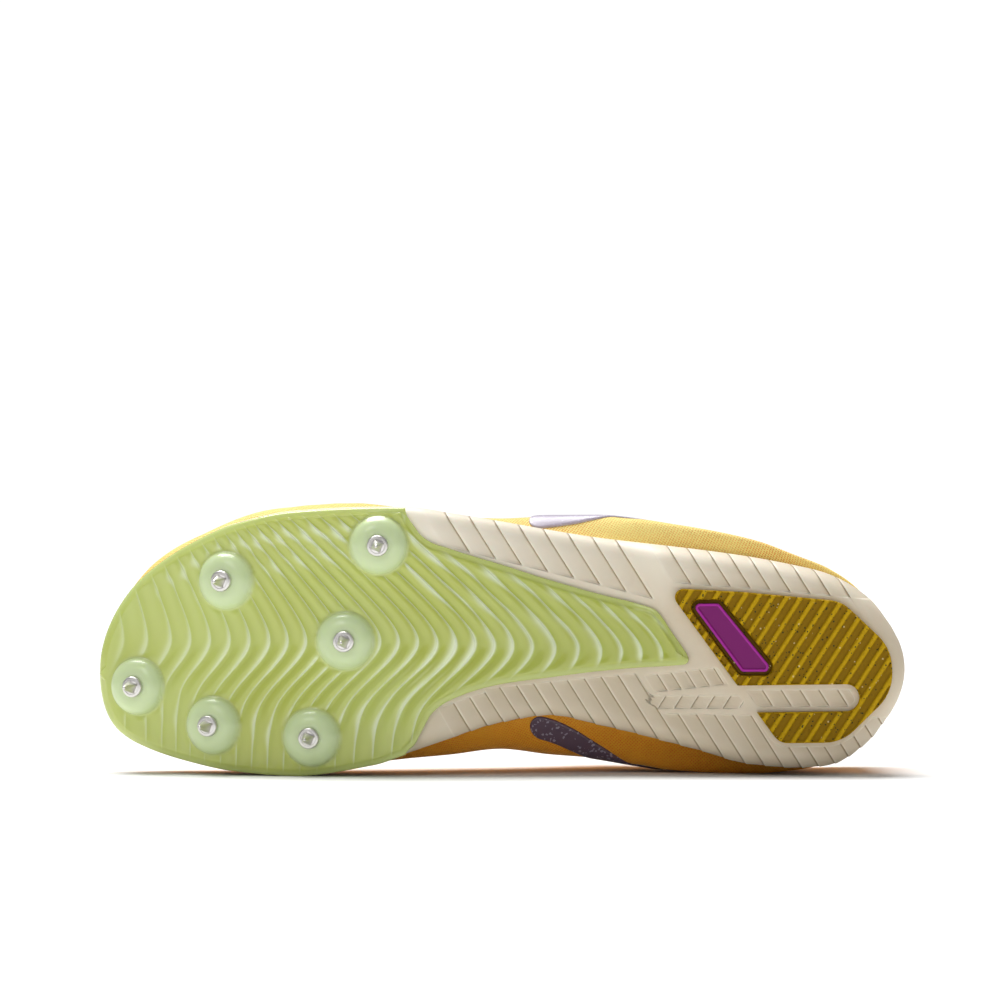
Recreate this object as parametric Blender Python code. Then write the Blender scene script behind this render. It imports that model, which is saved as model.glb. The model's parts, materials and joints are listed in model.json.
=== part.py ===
"""Track spike shoe for the left foot, lying on its medial side.

Shoe frame: x runs from the toe tip to the heel end, y from the lateral to the medial
side, z up from the ground to the collar. Every piece is modelled in that frame. The
whole shoe is then laid on its side on z = 0, with its box centred on the origin.
"""
import math
from collections import namedtuple

import bmesh
import bpy
from mathutils import Matrix, Vector

# Main sizes of the shoe, metres
SHOE_LENGTH = 0.285
BALL_WIDTH = 0.094
INSTEP_HEIGHT = 0.078
COLLAR_HEIGHT = 0.088
TOE_SPRING = 0.032
ARCH_RISE = 0.0055
HEEL_SEAT = 0.0245

# Walls and layers
GAP = 0.0003
TONGUE_GAP = 0.0006
WALL = 0.0020
COLLAR_PADDING = 0.0040
PLATE = 0.0017
PLATE_RIM = 0.0010
PLATE_WRAP = 0.0055
WRAP_LEAN = 0.0005
PINCH = 0.42
TREAD = 0.0030
CUP_RIM = 0.0030
CUP_HEIGHT = 0.0035
INSOLE = 0.0032
INSOLE_FIT = 0.0012
TONGUE = 0.0040

# Throat, eyelets and lace
THROAT_HALF_WIDTH = 0.0095
THROAT_SPREAD = 0.0085
EYELET_RADIUS = 0.0019
EYELET_MARGIN = 0.0065
LACE_WIDTH = 0.0062
LACE_THICKNESS = 0.0012
LACE_BARS = 6

# Spikes and their bosses
BOSS_RADIUS = 0.0102
BOSS_TOP_RADIUS = 0.0048
BOSS_HEIGHT = 0.0042
BOSS_SUNK = 0.0011
FLANGE_RADIUS = 0.0037
FLANGE_THICKNESS = 0.0013
SPIKE_WIDTH = 0.0044
SPIKE_LENGTH = 0.0062

# Grooves in the foam, ribs and inlay of the heel rubber
GROOVE_WIDTH = 0.0020
GROOVE_DEPTH = 0.0011
GROOVE_SLANT = math.radians(58.0)
RIB_PITCH = 0.0050
RIB_VALLEY = 0.0026
RIB_DEPTH = 0.0012
RIB_SLANT = math.radians(57.0)
RUBBER_RIM = 0.0016
CHANNEL_WIDTH = 0.0095
INLAY_MOAT = 0.0014

# How finely the shoe is divided around its outline and up its wall
STATIONS = 38
STEPS_PER_RING = 3

# Sole outline: shares of the length, then of the ball width
Edge = namedtuple("Edge", "at lateral medial")
SOLE_EDGE = [
    Edge(0.000, 0.138, 0.138),
    Edge(0.011, -0.030, 0.298),
    Edge(0.026, -0.119, 0.357),
    Edge(0.050, -0.212, 0.402),
    Edge(0.123, -0.368, 0.469),
    Edge(0.172, -0.433, 0.495),
    Edge(0.246, -0.482, 0.508),
    Edge(0.344, -0.497, 0.465),
    Edge(0.388, -0.495, 0.420),
    Edge(0.439, -0.472, 0.368),
    Edge(0.500, -0.441, 0.312),
    Edge(0.561, -0.407, 0.286),
    Edge(0.623, -0.376, 0.324),
    Edge(0.745, -0.331, 0.417),
    Edge(0.806, -0.305, 0.469),
    Edge(0.867, -0.270, 0.484),
    Edge(0.904, -0.242, 0.476),
    Edge(0.953, -0.160, 0.391),
    Edge(0.977, -0.074, 0.301),
    Edge(1.000, 0.112, 0.112),
]

# Tail of the spike plate, behind the ball
TAIL_EDGE = [
    Edge(0.384, -0.495, 0.424),
    Edge(0.394, -0.432, 0.390),
    Edge(0.404, -0.392, 0.335),
    Edge(0.417, -0.366, 0.268),
    Edge(0.440, -0.342, 0.220),
    Edge(0.500, -0.285, 0.164),
    Edge(0.561, -0.225, 0.140),
    Edge(0.623, -0.171, 0.117),
    Edge(0.672, -0.134, 0.103),
    Edge(0.690, -0.115, 0.099),
    Edge(0.714, -0.019, 0.094),
    Edge(0.727, 0.037, 0.090),
    Edge(0.732, 0.074, 0.074),
]

# Underside of the foam: shares of the toe spring and of the arch, and how far the
# heel tread, not the plate, sets its height
Line = namedtuple("Line", "at spring arch heel")
UNDERSIDE = [
    Line(0.000, 1.000, 0.0, 0.0),
    Line(0.040, 0.820, 0.0, 0.0),
    Line(0.100, 0.590, 0.0, 0.0),
    Line(0.145, 0.415, 0.0, 0.0),
    Line(0.200, 0.250, 0.0, 0.0),
    Line(0.265, 0.105, 0.0, 0.0),
    Line(0.300, 0.055, 0.0, 0.0),
    Line(0.350, 0.015, 0.0, 0.0),
    Line(0.400, 0.000, 0.0, 0.0),
    Line(0.500, 0.000, 0.45, 0.0),
    Line(0.600, 0.000, 1.0, 0.2),
    Line(0.660, 0.000, 0.75, 0.6),
    Line(0.705, 0.000, 0.0, 1.0),
    Line(0.955, 0.000, 0.0, 1.0),
    Line(1.000, 0.060, 0.0, 1.0),
]

# Footbed: shares of the toe spring and of the height of the heel seat
Seat = namedtuple("Seat", "at spring seat")
FOOTBED = [
    Seat(0.000, 0.960, 0.30),
    Seat(0.100, 0.590, 0.40),
    Seat(0.200, 0.260, 0.47),
    Seat(0.300, 0.070, 0.50),
    Seat(0.400, 0.000, 0.54),
    Seat(0.500, 0.000, 0.65),
    Seat(0.600, 0.000, 0.83),
    Seat(0.680, 0.000, 0.96),
    Seat(0.750, 0.000, 1.00),
    Seat(1.000, 0.000, 1.00),
]

# Widest line, shoulder and ridge of the upper: shares of the length, the ball width and
# the instep height, the rise being measured from the footbed
Ring = namedtuple("Ring", "at lateral medial rise")
BULGE = [
    Ring(0.010, 0.138, 0.138, 0.13),
    Ring(0.035, -0.150, 0.362, 0.13),
    Ring(0.075, -0.290, 0.415, 0.14),
    Ring(0.125, -0.378, 0.452, 0.15),
    Ring(0.220, -0.482, 0.488, 0.16),
    Ring(0.320, -0.505, 0.476, 0.17),
    Ring(0.390, -0.482, 0.457, 0.18),
    Ring(0.440, -0.455, 0.445, 0.19),
    Ring(0.500, -0.446, 0.425, 0.20),
    Ring(0.560, -0.452, 0.445, 0.20),
    Ring(0.620, -0.452, 0.464, 0.19),
    Ring(0.670, -0.443, 0.488, 0.140),
    Ring(0.720, -0.422, 0.510, 0.110),
    Ring(0.770, -0.396, 0.517, 0.085),
    Ring(0.820, -0.361, 0.518, 0.075),
    Ring(0.867, -0.308, 0.508, 0.075),
    Ring(0.910, -0.255, 0.478, 0.080),
    Ring(0.955, -0.150, 0.380, 0.090),
    Ring(0.985, 0.112, 0.112, 0.100),
]
SHOULDER = [
    Ring(0.050, 0.140, 0.140, 0.22),
    Ring(0.080, -0.070, 0.290, 0.27),
    Ring(0.120, -0.170, 0.345, 0.31),
    Ring(0.200, -0.290, 0.380, 0.38),
    Ring(0.300, -0.345, 0.375, 0.46),
    Ring(0.400, -0.350, 0.350, 0.53),
    Ring(0.500, -0.335, 0.345, 0.60),
    Ring(0.560, -0.325, 0.360, 0.66),
    Ring(0.620, -0.305, 0.372, 0.74),
    Ring(0.700, -0.265, 0.398, 0.80),
    Ring(0.800, -0.225, 0.408, 0.80),
    Ring(0.900, -0.150, 0.372, 0.80),
    Ring(0.950, -0.030, 0.275, 0.80),
    Ring(0.972, 0.112, 0.112, 0.80),
]
RIDGE = [
    Ring(0.105, 0.140, 0.140, 0.31),
    Ring(0.150, 0.120, 0.120, 0.40),
    Ring(0.200, 0.090, 0.090, 0.48),
    Ring(0.300, 0.040, 0.040, 0.61),
    Ring(0.400, 0.000, 0.000, 0.72),
    Ring(0.500, -0.015, -0.015, 0.83),
    Ring(0.560, -0.005, -0.005, 0.93),
    Ring(0.620, 0.020, 0.020, 1.06),
    Ring(0.680, 0.050, 0.050, 1.18),
    Ring(0.800, 0.085, 0.085, 1.25),
    Ring(0.960, 0.112, 0.112, 1.22),
]

# Top line of the collar seen from the side: shares of the length and the collar height
Top = namedtuple("Top", "at height")
COLLAR_LINE = [
    Top(0.575, 1.52),
    Top(0.608, 1.12),
    Top(0.632, 1.045),
    Top(0.680, 0.915),
    Top(0.735, 0.805),
    Top(0.790, 0.755),
    Top(0.850, 0.790),
    Top(0.910, 0.885),
    Top(0.955, 0.965),
    Top(1.050, 1.000),
]
THROAT_FRONT = 0.335
TONGUE_SPAN = (0.295, 0.655)
PADDING_SPAN = (0.665, 0.760)
TONGUE_LEVEL = 3.0
TONGUE_TOP = 0.55
LACE_SPAN = (0.365, 0.592)

# Bosses with their spikes: shares of the length and of the ball width
Boss = namedtuple("Boss", "at across")
BOSSES = [
    Boss(0.050, 0.182),
    Boss(0.145, 0.322),
    Boss(0.268, 0.361),
    Boss(0.162, -0.222),
    Boss(0.310, 0.000),
    Boss(0.351, -0.357),
]

# Rows of grooves in the foam: where they run, where they begin and to which side
Row = namedtuple("Row", "first last pitch start end side")
GROOVE_ROWS = [
    Row(0.446, 0.690, 0.0077, -0.350, -0.150, -1),
    Row(0.722, 0.905, 0.0063, -0.215, -0.160, -1),
    Row(0.436, 0.600, 0.0063, 0.245, 0.165, 1),
    Row(0.622, 0.900, 0.0063, 0.195, 0.340, 1),
]

# Corners of the heel rubber and of its inlay, with the radius of each: shares of the
# length and of the ball width
Corner = namedtuple("Corner", "at across radius")
RUBBER = [
    Corner(0.704, -0.196, 0.032),
    Corner(0.800, -0.180, 0.320),
    Corner(0.920, -0.145, 0.128),
    Corner(0.981, 0.030, 0.170),
    Corner(0.983, 0.195, 0.170),
    Corner(0.920, 0.382, 0.160),
    Corner(0.843, 0.384, 0.064),
    Corner(0.794, 0.178, 0.043),
]
INLAY = [
    Corner(0.735, -0.138, 0.016),
    Corner(0.769, -0.138, 0.016),
    Corner(0.830, 0.090, 0.016),
    Corner(0.830, 0.117, 0.016),
    Corner(0.797, 0.117, 0.016),
]
CHANNEL_START = Corner(0.700, 0.222, 0.0)
CHANNEL_END = Corner(0.925, 0.215, 0.0)

# Side bar on each side of the upper: share of its turn, and how far up the wall its
# middle lies, as a share of the instep height
Bar = namedtuple("Bar", "at reach")
SIDE_BAR = [
    Bar(0.540, 0.110),
    Bar(0.600, 0.180),
    Bar(0.660, 0.265),
    Bar(0.715, 0.350),
]
BAR_WIDTH = 0.0090
BAR_ROUND_END = 0.085
BAR_THICKNESS = 0.0005
BAR_STANDS_OFF = (0.0009, 0.0007)

# Smallest face of the hull that the shoe can lie on, square metres
HULL_FACE = 0.00001

LATERAL = -1
MEDIAL = 1


def value(rows, column, at):
    """Column of a table at a share of the length, smooth and round at both ends."""
    first, last = rows[0].at, rows[-1].at

    def angle(share):
        part = min(1.0, max(0.0, (share - first) / (last - first)))
        return math.acos(1.0 - 2.0 * part)

    turns = [angle(row.at) for row in rows]
    heights = [getattr(row, column) for row in rows]
    here = angle(at)
    k = 0
    while k < len(rows) - 2 and here > turns[k + 1]:
        k += 1
    slopes = [(heights[i + 1] - heights[i]) / (turns[i + 1] - turns[i]) for i in range(len(rows) - 1)]

    def tangent(i):
        if i == 0:
            return slopes[0]
        if i == len(rows) - 1:
            return slopes[-1]
        before, after = slopes[i - 1], slopes[i]
        if before * after <= 0.0:
            return 0.0
        return 2.0 * before * after / (before + after)

    span = turns[k + 1] - turns[k]
    t = (here - turns[k]) / span
    return ((2 * t ** 3 - 3 * t ** 2 + 1) * heights[k] + (t ** 3 - 2 * t ** 2 + t) * span * tangent(k)
            + (3 * t ** 2 - 2 * t ** 3) * heights[k + 1] + (t ** 3 - t ** 2) * span * tangent(k + 1))


def side_name(side):
    """Column name of a side."""
    return "medial" if side > 0 else "lateral"


def turn_side(turn):
    """A turn runs from 0 at the toe to pi at the heel on the lateral side, and back."""
    return LATERAL if turn <= math.pi else MEDIAL


def turn_share(turn):
    """Share of a ring's own length that a turn has reached."""
    return (1.0 - math.cos(turn)) / 2.0


def sole_edge(at, side):
    """Distance of the sole's edge from the long axis."""
    return value(SOLE_EDGE, side_name(side), at) * BALL_WIDTH


def plate_edge(at, side):
    """Edge of the spike plate: the sole's edge to the ball, then its tail."""
    if at <= TAIL_EDGE[0].at:
        return sole_edge(at, side)
    return value(TAIL_EDGE, side_name(side), at) * BALL_WIDTH


def outline_point(turn, edge, length_share):
    """Point of an outline in plan."""
    at = turn_share(turn) * length_share
    return Vector((at * SHOE_LENGTH, edge(at, turn_side(turn)), 0.0))


def inset_point(turn, inset, edge=sole_edge, length_share=1.0):
    """Point of an outline moved inwards, square to the outline."""
    step = 0.01
    tangent = (outline_point((turn + step) % math.tau, edge, length_share)
               - outline_point((turn - step) % math.tau, edge, length_share)).normalized()
    inward = Vector((-tangent.y, tangent.x, 0.0))
    return outline_point(turn, edge, length_share) + inward * inset


def underside(x):
    """Height of the foam's underside."""
    at = x / SHOE_LENGTH
    heel = value(UNDERSIDE, "heel", at)
    return (value(UNDERSIDE, "spring", at) * TOE_SPRING + value(UNDERSIDE, "arch", at) * ARCH_RISE
            + (1.0 - heel) * (PLATE + GAP) + heel * (TREAD + GAP))


def footbed(x):
    """Height of the footbed, flat under the heel."""
    at = x / SHOE_LENGTH
    return value(FOOTBED, "spring", at) * TOE_SPRING + value(FOOTBED, "seat", at) * HEEL_SEAT


def wrap(x):
    """One where the plate wraps the edge of the forefoot, nought behind it."""
    t = min(1.0, max(0.0, (TAIL_EDGE[0].at - x / SHOE_LENGTH) / 0.06))
    return t * t * (3.0 - 2.0 * t)


def turns(count=STATIONS):
    """Even turns once around an outline."""
    return [math.pi * i / count for i in range(2 * count)]


# Mesh helpers

def new_object(name, bm, material):
    """Object made from a bmesh, with its one material."""
    bmesh.ops.recalc_face_normals(bm, faces=bm.faces)
    mesh = bpy.data.meshes.new(name)
    bm.to_mesh(mesh)
    bm.free()
    obj = bpy.data.objects.new(name, mesh)
    bpy.context.collection.objects.link(obj)
    if material:
        mesh.materials.append(material)
    return obj


def add_rings(bm, rings):
    """Closed rings of points joined by bands of faces."""
    loops = [[bm.verts.new(point) for point in ring] for ring in rings]
    for low, high in zip(loops, loops[1:]):
        for i in range(len(low)):
            j = (i + 1) % len(low)
            bm.faces.new((low[i], low[j], high[j], high[i]))
    return loops


def add_cap(bm, loop):
    """Strips across a closed ring, from each lateral point to the medial one beside it."""
    half = len(loop) // 2
    for i in range(half):
        a, b = loop[i], loop[i + 1]
        c, d = loop[(-i - 1) % len(loop)], loop[-i % len(loop)]
        corners = [a, b, c, d]
        corners = [v for k, v in enumerate(corners) if v not in corners[:k]]
        bm.faces.new(corners)


def layer(name, rings, material):
    """Solid of stacked rings, closed at both ends by strips."""
    bm = bmesh.new()
    loops = add_rings(bm, rings)
    add_cap(bm, loops[0])
    add_cap(bm, loops[-1])
    return new_object(name, bm, material)


def prism(name, points, low, high, material=None):
    """Upright prism on a plan outline."""
    bm = bmesh.new()
    loops = add_rings(bm, [[(x, y, z) for x, y in points] for z in (low, high)])
    for loop in loops:
        bm.faces.new(loop)
    return new_object(name, bm, material)


def cut(obj, tool, operation="DIFFERENCE"):
    """Boolean of two solids; the tool is used up."""
    modifier = obj.modifiers.new("cut", "BOOLEAN")
    modifier.operation = operation
    modifier.object = tool
    graph = bpy.context.evaluated_depsgraph_get()
    mesh = bpy.data.meshes.new_from_object(obj.evaluated_get(graph))
    obj.modifiers.clear()
    obj.data = mesh
    bpy.data.objects.remove(tool)
    bm = bmesh.new()
    bm.from_mesh(mesh)
    bmesh.ops.remove_doubles(bm, verts=bm.verts, dist=0.00001)
    bmesh.ops.dissolve_degenerate(bm, edges=bm.edges, dist=0.00001)
    bmesh.ops.triangulate(bm, faces=bm.faces)
    bm.to_mesh(mesh)
    bm.free()


def rounded(corners, steps=5, grow=0.0):
    """Plan outline through corners, each rounded by an arc, moved outwards by grow."""
    spots = [Vector((c.at * SHOE_LENGTH, c.across * BALL_WIDTH)) for c in corners]
    count = len(spots)
    turning = sum(spots[i].cross(spots[(i + 1) % count]) for i in range(count))
    out = 1.0 if turning > 0 else -1.0
    points = []
    for i, corner in enumerate(corners):
        before = (spots[i] - spots[i - 1]).normalized()
        after = (spots[(i + 1) % count] - spots[i]).normalized()
        hollow = before.cross(after) * out < 0
        radius = max(0.0004, corner.radius * BALL_WIDTH + (-grow if hollow else grow))
        normal_before = Vector((before.y, -before.x)) * out
        normal_after = Vector((after.y, -after.x)) * out
        swing = abs(before.angle(after))
        base = spots[i] + (normal_before + normal_after) * grow / (1.0 + math.cos(swing))
        reach = radius * math.tan(swing / 2)
        centre = base - before * reach - (normal_before * radius if not hollow else -normal_before * radius)
        for k in range(steps + 1):
            turn = swing * k / steps
            arm = (normal_before if not hollow else -normal_before) * radius
            spin = turn if before.cross(after) > 0 else -turn
            points.append(centre + Vector((arm.x * math.cos(spin) - arm.y * math.sin(spin),
                                           arm.x * math.sin(spin) + arm.y * math.cos(spin))))
    return [(p.x, p.y) for p in points]


# The upper as a function

def ring_point(rows, turn):
    """Point of one of the upper's rings."""
    first, last = rows[0].at, rows[-1].at
    at = first + turn_share(turn) * (last - first)
    x = at * SHOE_LENGTH
    y = value(rows, side_name(turn_side(turn)), at) * BALL_WIDTH
    return Vector((x, y, footbed(x) + value(rows, "rise", at) * INSTEP_HEIGHT))


def upper_point(turn, level):
    """Outer face of the upper: level 0 is its foot, 1 the cup rim, 2 the widest line,
    3 the shoulder and 4 the ridge."""
    foot = inset_point(turn, CUP_RIM + GAP)
    foot.z = footbed(foot.x) + GAP
    rim = foot + Vector((0.0, 0.0, CUP_HEIGHT))
    if level <= 1.0:
        return foot.lerp(rim, level)
    shoulder, ridge = ring_point(SHOULDER, turn), ring_point(RIDGE, turn)
    across = ridge - shoulder
    along_ridge = across.x ** 2 / max(across.x ** 2 + across.y ** 2, 1e-12)
    beyond = Vector((ridge.x + across.x, ridge.y + across.y, shoulder.z + 2.0 * across.z * along_ridge))
    knots = [foot, rim, ring_point(BULGE, turn), shoulder, ridge, beyond]
    k = min(int(level), 3)
    t = level - k
    before, start, end, after = knots[k - 1:k + 3]
    if k == 1:
        before = start - Vector((0.0, 0.0, 2.0 * CUP_HEIGHT))
    chord = (end - start).length
    lead = (end - before).normalized() * chord
    trail = (after - start).normalized() * chord
    return (start * (2 * t ** 3 - 3 * t ** 2 + 1) + lead * (t ** 3 - 2 * t ** 2 + t)
            + end * (3 * t ** 2 - 2 * t ** 3) + trail * (t ** 3 - t ** 2))


def upper_normal(turn, level):
    """Direction square to the upper's outer face."""
    step = 0.02
    high = min(level + step, 4.0)
    along = upper_point((turn + step) % math.tau, level) - upper_point((turn - step) % math.tau, level)
    rise = upper_point(turn, high) - upper_point(turn, level - step if level > step else level)
    if level > 4.0 - step:
        near = upper_point(turn, 4.0)
        low = upper_point(turn, 4.0 - step)
        rise = Vector((near.x - low.x, near.y - low.y, 0.0))
    if level <= 1.0:
        rise = Vector((0.0, 0.0, 1.0))
    return along.cross(rise).normalized()


def upper_lift(turn, level, lift):
    """Point at a height above the upper's outer face, or below it when negative."""
    return upper_point(turn, level) + upper_normal(turn, level) * lift


def ridge_turn(at):
    """Turn on the lateral side where the ridge stands at a share of the length."""
    first, last = RIDGE[0].at, RIDGE[-1].at
    part = (at - first) / (last - first)
    return math.acos(1.0 - 2.0 * part)


LEVELS = [0.0, 1.0] + [1.0 + k / STEPS_PER_RING for k in range(1, 3 * STEPS_PER_RING + 1)]


def wall_depth(turn, level):
    """Thickness of the upper, padded around the collar and the heel."""
    first, last = RIDGE[0].at, RIDGE[-1].at
    at = first + turn_share(turn) * (last - first)
    along = min(1.0, max(0.0, (at - PADDING_SPAN[0]) / (PADDING_SPAN[1] - PADDING_SPAN[0])))
    up = min(1.0, max(0.0, level - 2.0) * 1.5)
    return WALL + COLLAR_PADDING * along * up


def shell(bm, depth):
    """Closed-over skin of the upper; its last ring is one seam along the ridge."""
    around = turns()
    count = len(around)
    loops = []
    for level in LEVELS[:-1]:
        loops.append([bm.verts.new(upper_lift(turn, level, -depth(turn, level))) for turn in around])
    seam = {}
    for i in range(STATIONS + 1):
        vert = bm.verts.new(upper_lift(around[i], LEVELS[-1], -depth(around[i], LEVELS[-1])))
        seam[i] = vert
        seam[-i % count] = vert
    loops.append([seam[i] for i in range(count)])
    for low, high in zip(loops, loops[1:]):
        for i in range(count):
            j = (i + 1) % count
            corners = [low[i], low[j], high[j], high[i]]
            bm.faces.new([v for k, v in enumerate(corners) if v not in corners[:k]])
    return loops[0]


def outside(turn, level):
    """Depth of the outer skin."""
    return 0.0


def make_upper(material):
    """Hollow upper, cut open at the throat and the collar, with its eyelets."""
    bm = bmesh.new()
    outer = shell(bm, outside)
    inner = shell(bm, wall_depth)
    for i in range(len(outer)):
        j = (i + 1) % len(outer)
        bm.faces.new((outer[i], outer[j], inner[j], inner[i]))
    upper = new_object("upper", bm, material)
    cut(upper, throat_cutter())
    cut(upper, collar_cutter())
    cut(upper, eyelet_cutter())
    return upper


def throat_half(x):
    """Half width of the throat opening at a distance from the toe."""
    front = THROAT_FRONT * SHOE_LENGTH
    back = COLLAR_LINE[1].at * SHOE_LENGTH
    return THROAT_HALF_WIDTH + THROAT_SPREAD * (x - front) / (back - front)


def throat_cutter():
    """Upright slot with a round front, following the ridge."""
    front = THROAT_FRONT * SHOE_LENGTH
    back = (COLLAR_LINE[3].at + 0.02) * SHOE_LENGTH
    stations = [front + (back - front) * k / 6 for k in range(7)]
    sides = {LATERAL: [], MEDIAL: []}
    for x in stations:
        middle = value(RIDGE, "lateral", x / SHOE_LENGTH) * BALL_WIDTH
        for side in sides:
            sides[side].append((x, middle + side * throat_half(x)))
    middle = value(RIDGE, "lateral", THROAT_FRONT) * BALL_WIDTH
    nose = [(front - THROAT_HALF_WIDTH * math.cos(a), middle + THROAT_HALF_WIDTH * math.sin(a))
            for a in [math.pi * (k / 8 - 0.5) for k in range(1, 8)]]
    points = list(reversed(sides[LATERAL])) + nose + sides[MEDIAL]
    return prism("throat_cutter", points, INSTEP_HEIGHT * 0.5, INSTEP_HEIGHT * 2.0)


def collar_cutter():
    """Everything above the top line, as a slab through both sides."""
    steps = 22
    first, last = COLLAR_LINE[0].at, COLLAR_LINE[-1].at
    line = [first + (last - first) * k / steps for k in range(steps + 1)]
    points = [(at * SHOE_LENGTH, value(COLLAR_LINE, "height", at) * COLLAR_HEIGHT) for at in line]
    points.append((last * SHOE_LENGTH, COLLAR_HEIGHT * COLLAR_LINE[0].height))
    bm = bmesh.new()
    loops = add_rings(bm, [[(x, y, z) for x, z in points] for y in (-BALL_WIDTH, BALL_WIDTH)])
    for loop in loops:
        bm.faces.new(loop)
    return new_object("collar_cutter", bm, None)


def make_tongue(material):
    """Strip under the throat that follows the inside of the upper."""
    first, last = (ridge_turn(at) for at in TONGUE_SPAN)
    around = [turn for turn in turns() if first <= turn <= last]
    levels = [level for level in LEVELS if level >= TONGUE_LEVEL]
    path = [(LATERAL, level) for level in levels] + [(MEDIAL, level) for level in reversed(levels[:-1])]
    bm = bmesh.new()
    skins = []
    for depth in (WALL + TONGUE_GAP, WALL + TONGUE_GAP + TONGUE):
        rows = []
        for turn in around:
            row = []
            part = (turn - around[0]) / (around[-1] - around[0])
            narrow = math.sqrt(1.0 - TONGUE_TOP * max(0.0, (part - 0.8) / 0.2) ** 2)
            for side, level in path:
                spot = turn if side == LATERAL else math.tau - turn
                sunk = depth + TONGUE_GAP * 2.0 * (1.0 - narrow)
                row.append(bm.verts.new(upper_lift(spot, 4.0 - (4.0 - level) * narrow, -sunk)))
            rows.append(row)
        for low, high in zip(rows, rows[1:]):
            for i in range(len(path) - 1):
                bm.faces.new((low[i], low[i + 1], high[i + 1], high[i]))
        skins.append(rows)
    top, bottom = skins
    rims = [[rows[0][i] for i in range(len(path))] + [row[-1] for row in rows[1:]]
            + [rows[-1][i] for i in range(len(path) - 2, -1, -1)] + [row[0] for row in reversed(rows[1:-1])]
            for rows in (top, bottom)]
    for i in range(len(rims[0])):
        j = (i + 1) % len(rims[0])
        bm.faces.new((rims[0][i], rims[0][j], rims[1][j], rims[1][i]))
    return new_object("tongue", bm, material)


def level_at(turn, reach):
    """Level that lies a distance up the wall from the cup rim, measured on its surface."""
    step = 0.04
    level, spot, gone = 1.0, upper_point(turn, 1.0), 0.0
    while level < 4.0:
        after = upper_point(turn, level + step)
        rise = (after - spot).length
        if gone + rise >= reach:
            return level + step * (reach - gone) / rise
        gone, level, spot = gone + rise, level + step, after
    return 4.0


def bar_stations():
    """Shares of the bar's length with the share of its half width there: round, straight, round."""
    turns_of_end = [math.radians(angle) for angle in (15.0, 40.0, 65.0, 90.0)]
    start = [(BAR_ROUND_END * (1.0 - math.cos(turn)), math.sin(turn)) for turn in turns_of_end]
    middle = [(BAR_ROUND_END + (1.0 - 2.0 * BAR_ROUND_END) * k / 6, 1.0) for k in range(1, 6)]
    return start + middle + [(1.0 - part, half) for part, half in reversed(start)]


def make_side_bar(name, side, material):
    """Plain slanted bar of one width on the side of the upper, with round ends."""
    across = 4
    first, last = SIDE_BAR[0].at, SIDE_BAR[-1].at
    rings = []
    for part, share in bar_stations():
        at = first + (last - first) * part
        turn = math.acos(1.0 - 2.0 * at)
        turn = turn if side == LATERAL else math.tau - turn
        middle = value(SIDE_BAR, "reach", at) * INSTEP_HEIGHT
        half = BAR_WIDTH / 2 * share
        spots = [level_at(turn, middle + (2.0 * j / across - 1.0) * half) for j in range(across + 1)]
        off = BAR_STANDS_OFF[0] + (BAR_STANDS_OFF[1] - BAR_STANDS_OFF[0]) * part
        low = [upper_lift(turn, spot, off) for spot in spots]
        high = [upper_lift(turn, spot, off + BAR_THICKNESS) for spot in reversed(spots)]
        rings.append(low + high)
    bm = bmesh.new()
    loops = add_rings(bm, rings)
    bm.faces.new(loops[0])
    bm.faces.new(loops[-1])
    return new_object(name, bm, material)


# Sole

def make_insole(material):
    """Thin sheet on the footbed, inside the wall of the upper."""
    inset = CUP_RIM + GAP + WALL + INSOLE_FIT
    rings = []
    for extra, rise in ((0.0, GAP), (0.0, GAP + INSOLE * 0.7), (INSOLE * 0.3, GAP + INSOLE)):
        ring = []
        for turn in turns():
            point = inset_point(turn, inset + extra)
            point.z = footbed(point.x) + rise
            ring.append(point)
        rings.append(ring)
    return layer("insole", rings, material)


def foam_rings():
    """Rings of the midsole from the footbed over the rim and side to the underside."""
    rings = [[] for _ in range(7)]
    for turn in turns():
        edge = inset_point(turn, 0.0)
        tuck = wrap(edge.x) * (PLATE_RIM + GAP)
        profile = [(CUP_RIM, "seat", 0.0), (CUP_RIM, "seat", CUP_HEIGHT), (CUP_RIM * 0.35, "seat", CUP_HEIGHT),
                   (0.0, "side", 0.62), (tuck, "side", 0.34), (tuck + 0.0016, "side", 0.13),
                   (tuck + 0.0055, "side", 0.0)]
        for ring, (inset, kind, part) in zip(rings, profile):
            point = inset_point(turn, max(inset, tuck))
            top = footbed(point.x) + CUP_HEIGHT
            low = underside(point.x)
            point.z = footbed(point.x) + part if kind == "seat" else low + (top - low) * part
            ring.append(point)
    return rings


def make_midsole(material):
    """Foam from toe to heel with a cup for the upper and grooves in its side."""
    midsole = layer("midsole", foam_rings(), material)
    cut(midsole, groove_cutter())
    return midsole


def groove_cutter():
    """All side grooves as one set of bars with a V section."""
    bm = bmesh.new()
    for row in GROOVE_ROWS:
        count = int((row.last - row.first) * SHOE_LENGTH / row.pitch)
        for k in range(count + 1):
            part = k / count
            start = Vector(((row.first + (row.last - row.first) * part) * SHOE_LENGTH,
                            (row.start + (row.end - row.start) * part) * BALL_WIDTH))
            way = Vector((math.cos(GROOVE_SLANT), math.sin(GROOVE_SLANT))) * row.side
            add_groove(bm, start, way, row.side)
    return new_object("groove_cutter", bm, None)


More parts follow.
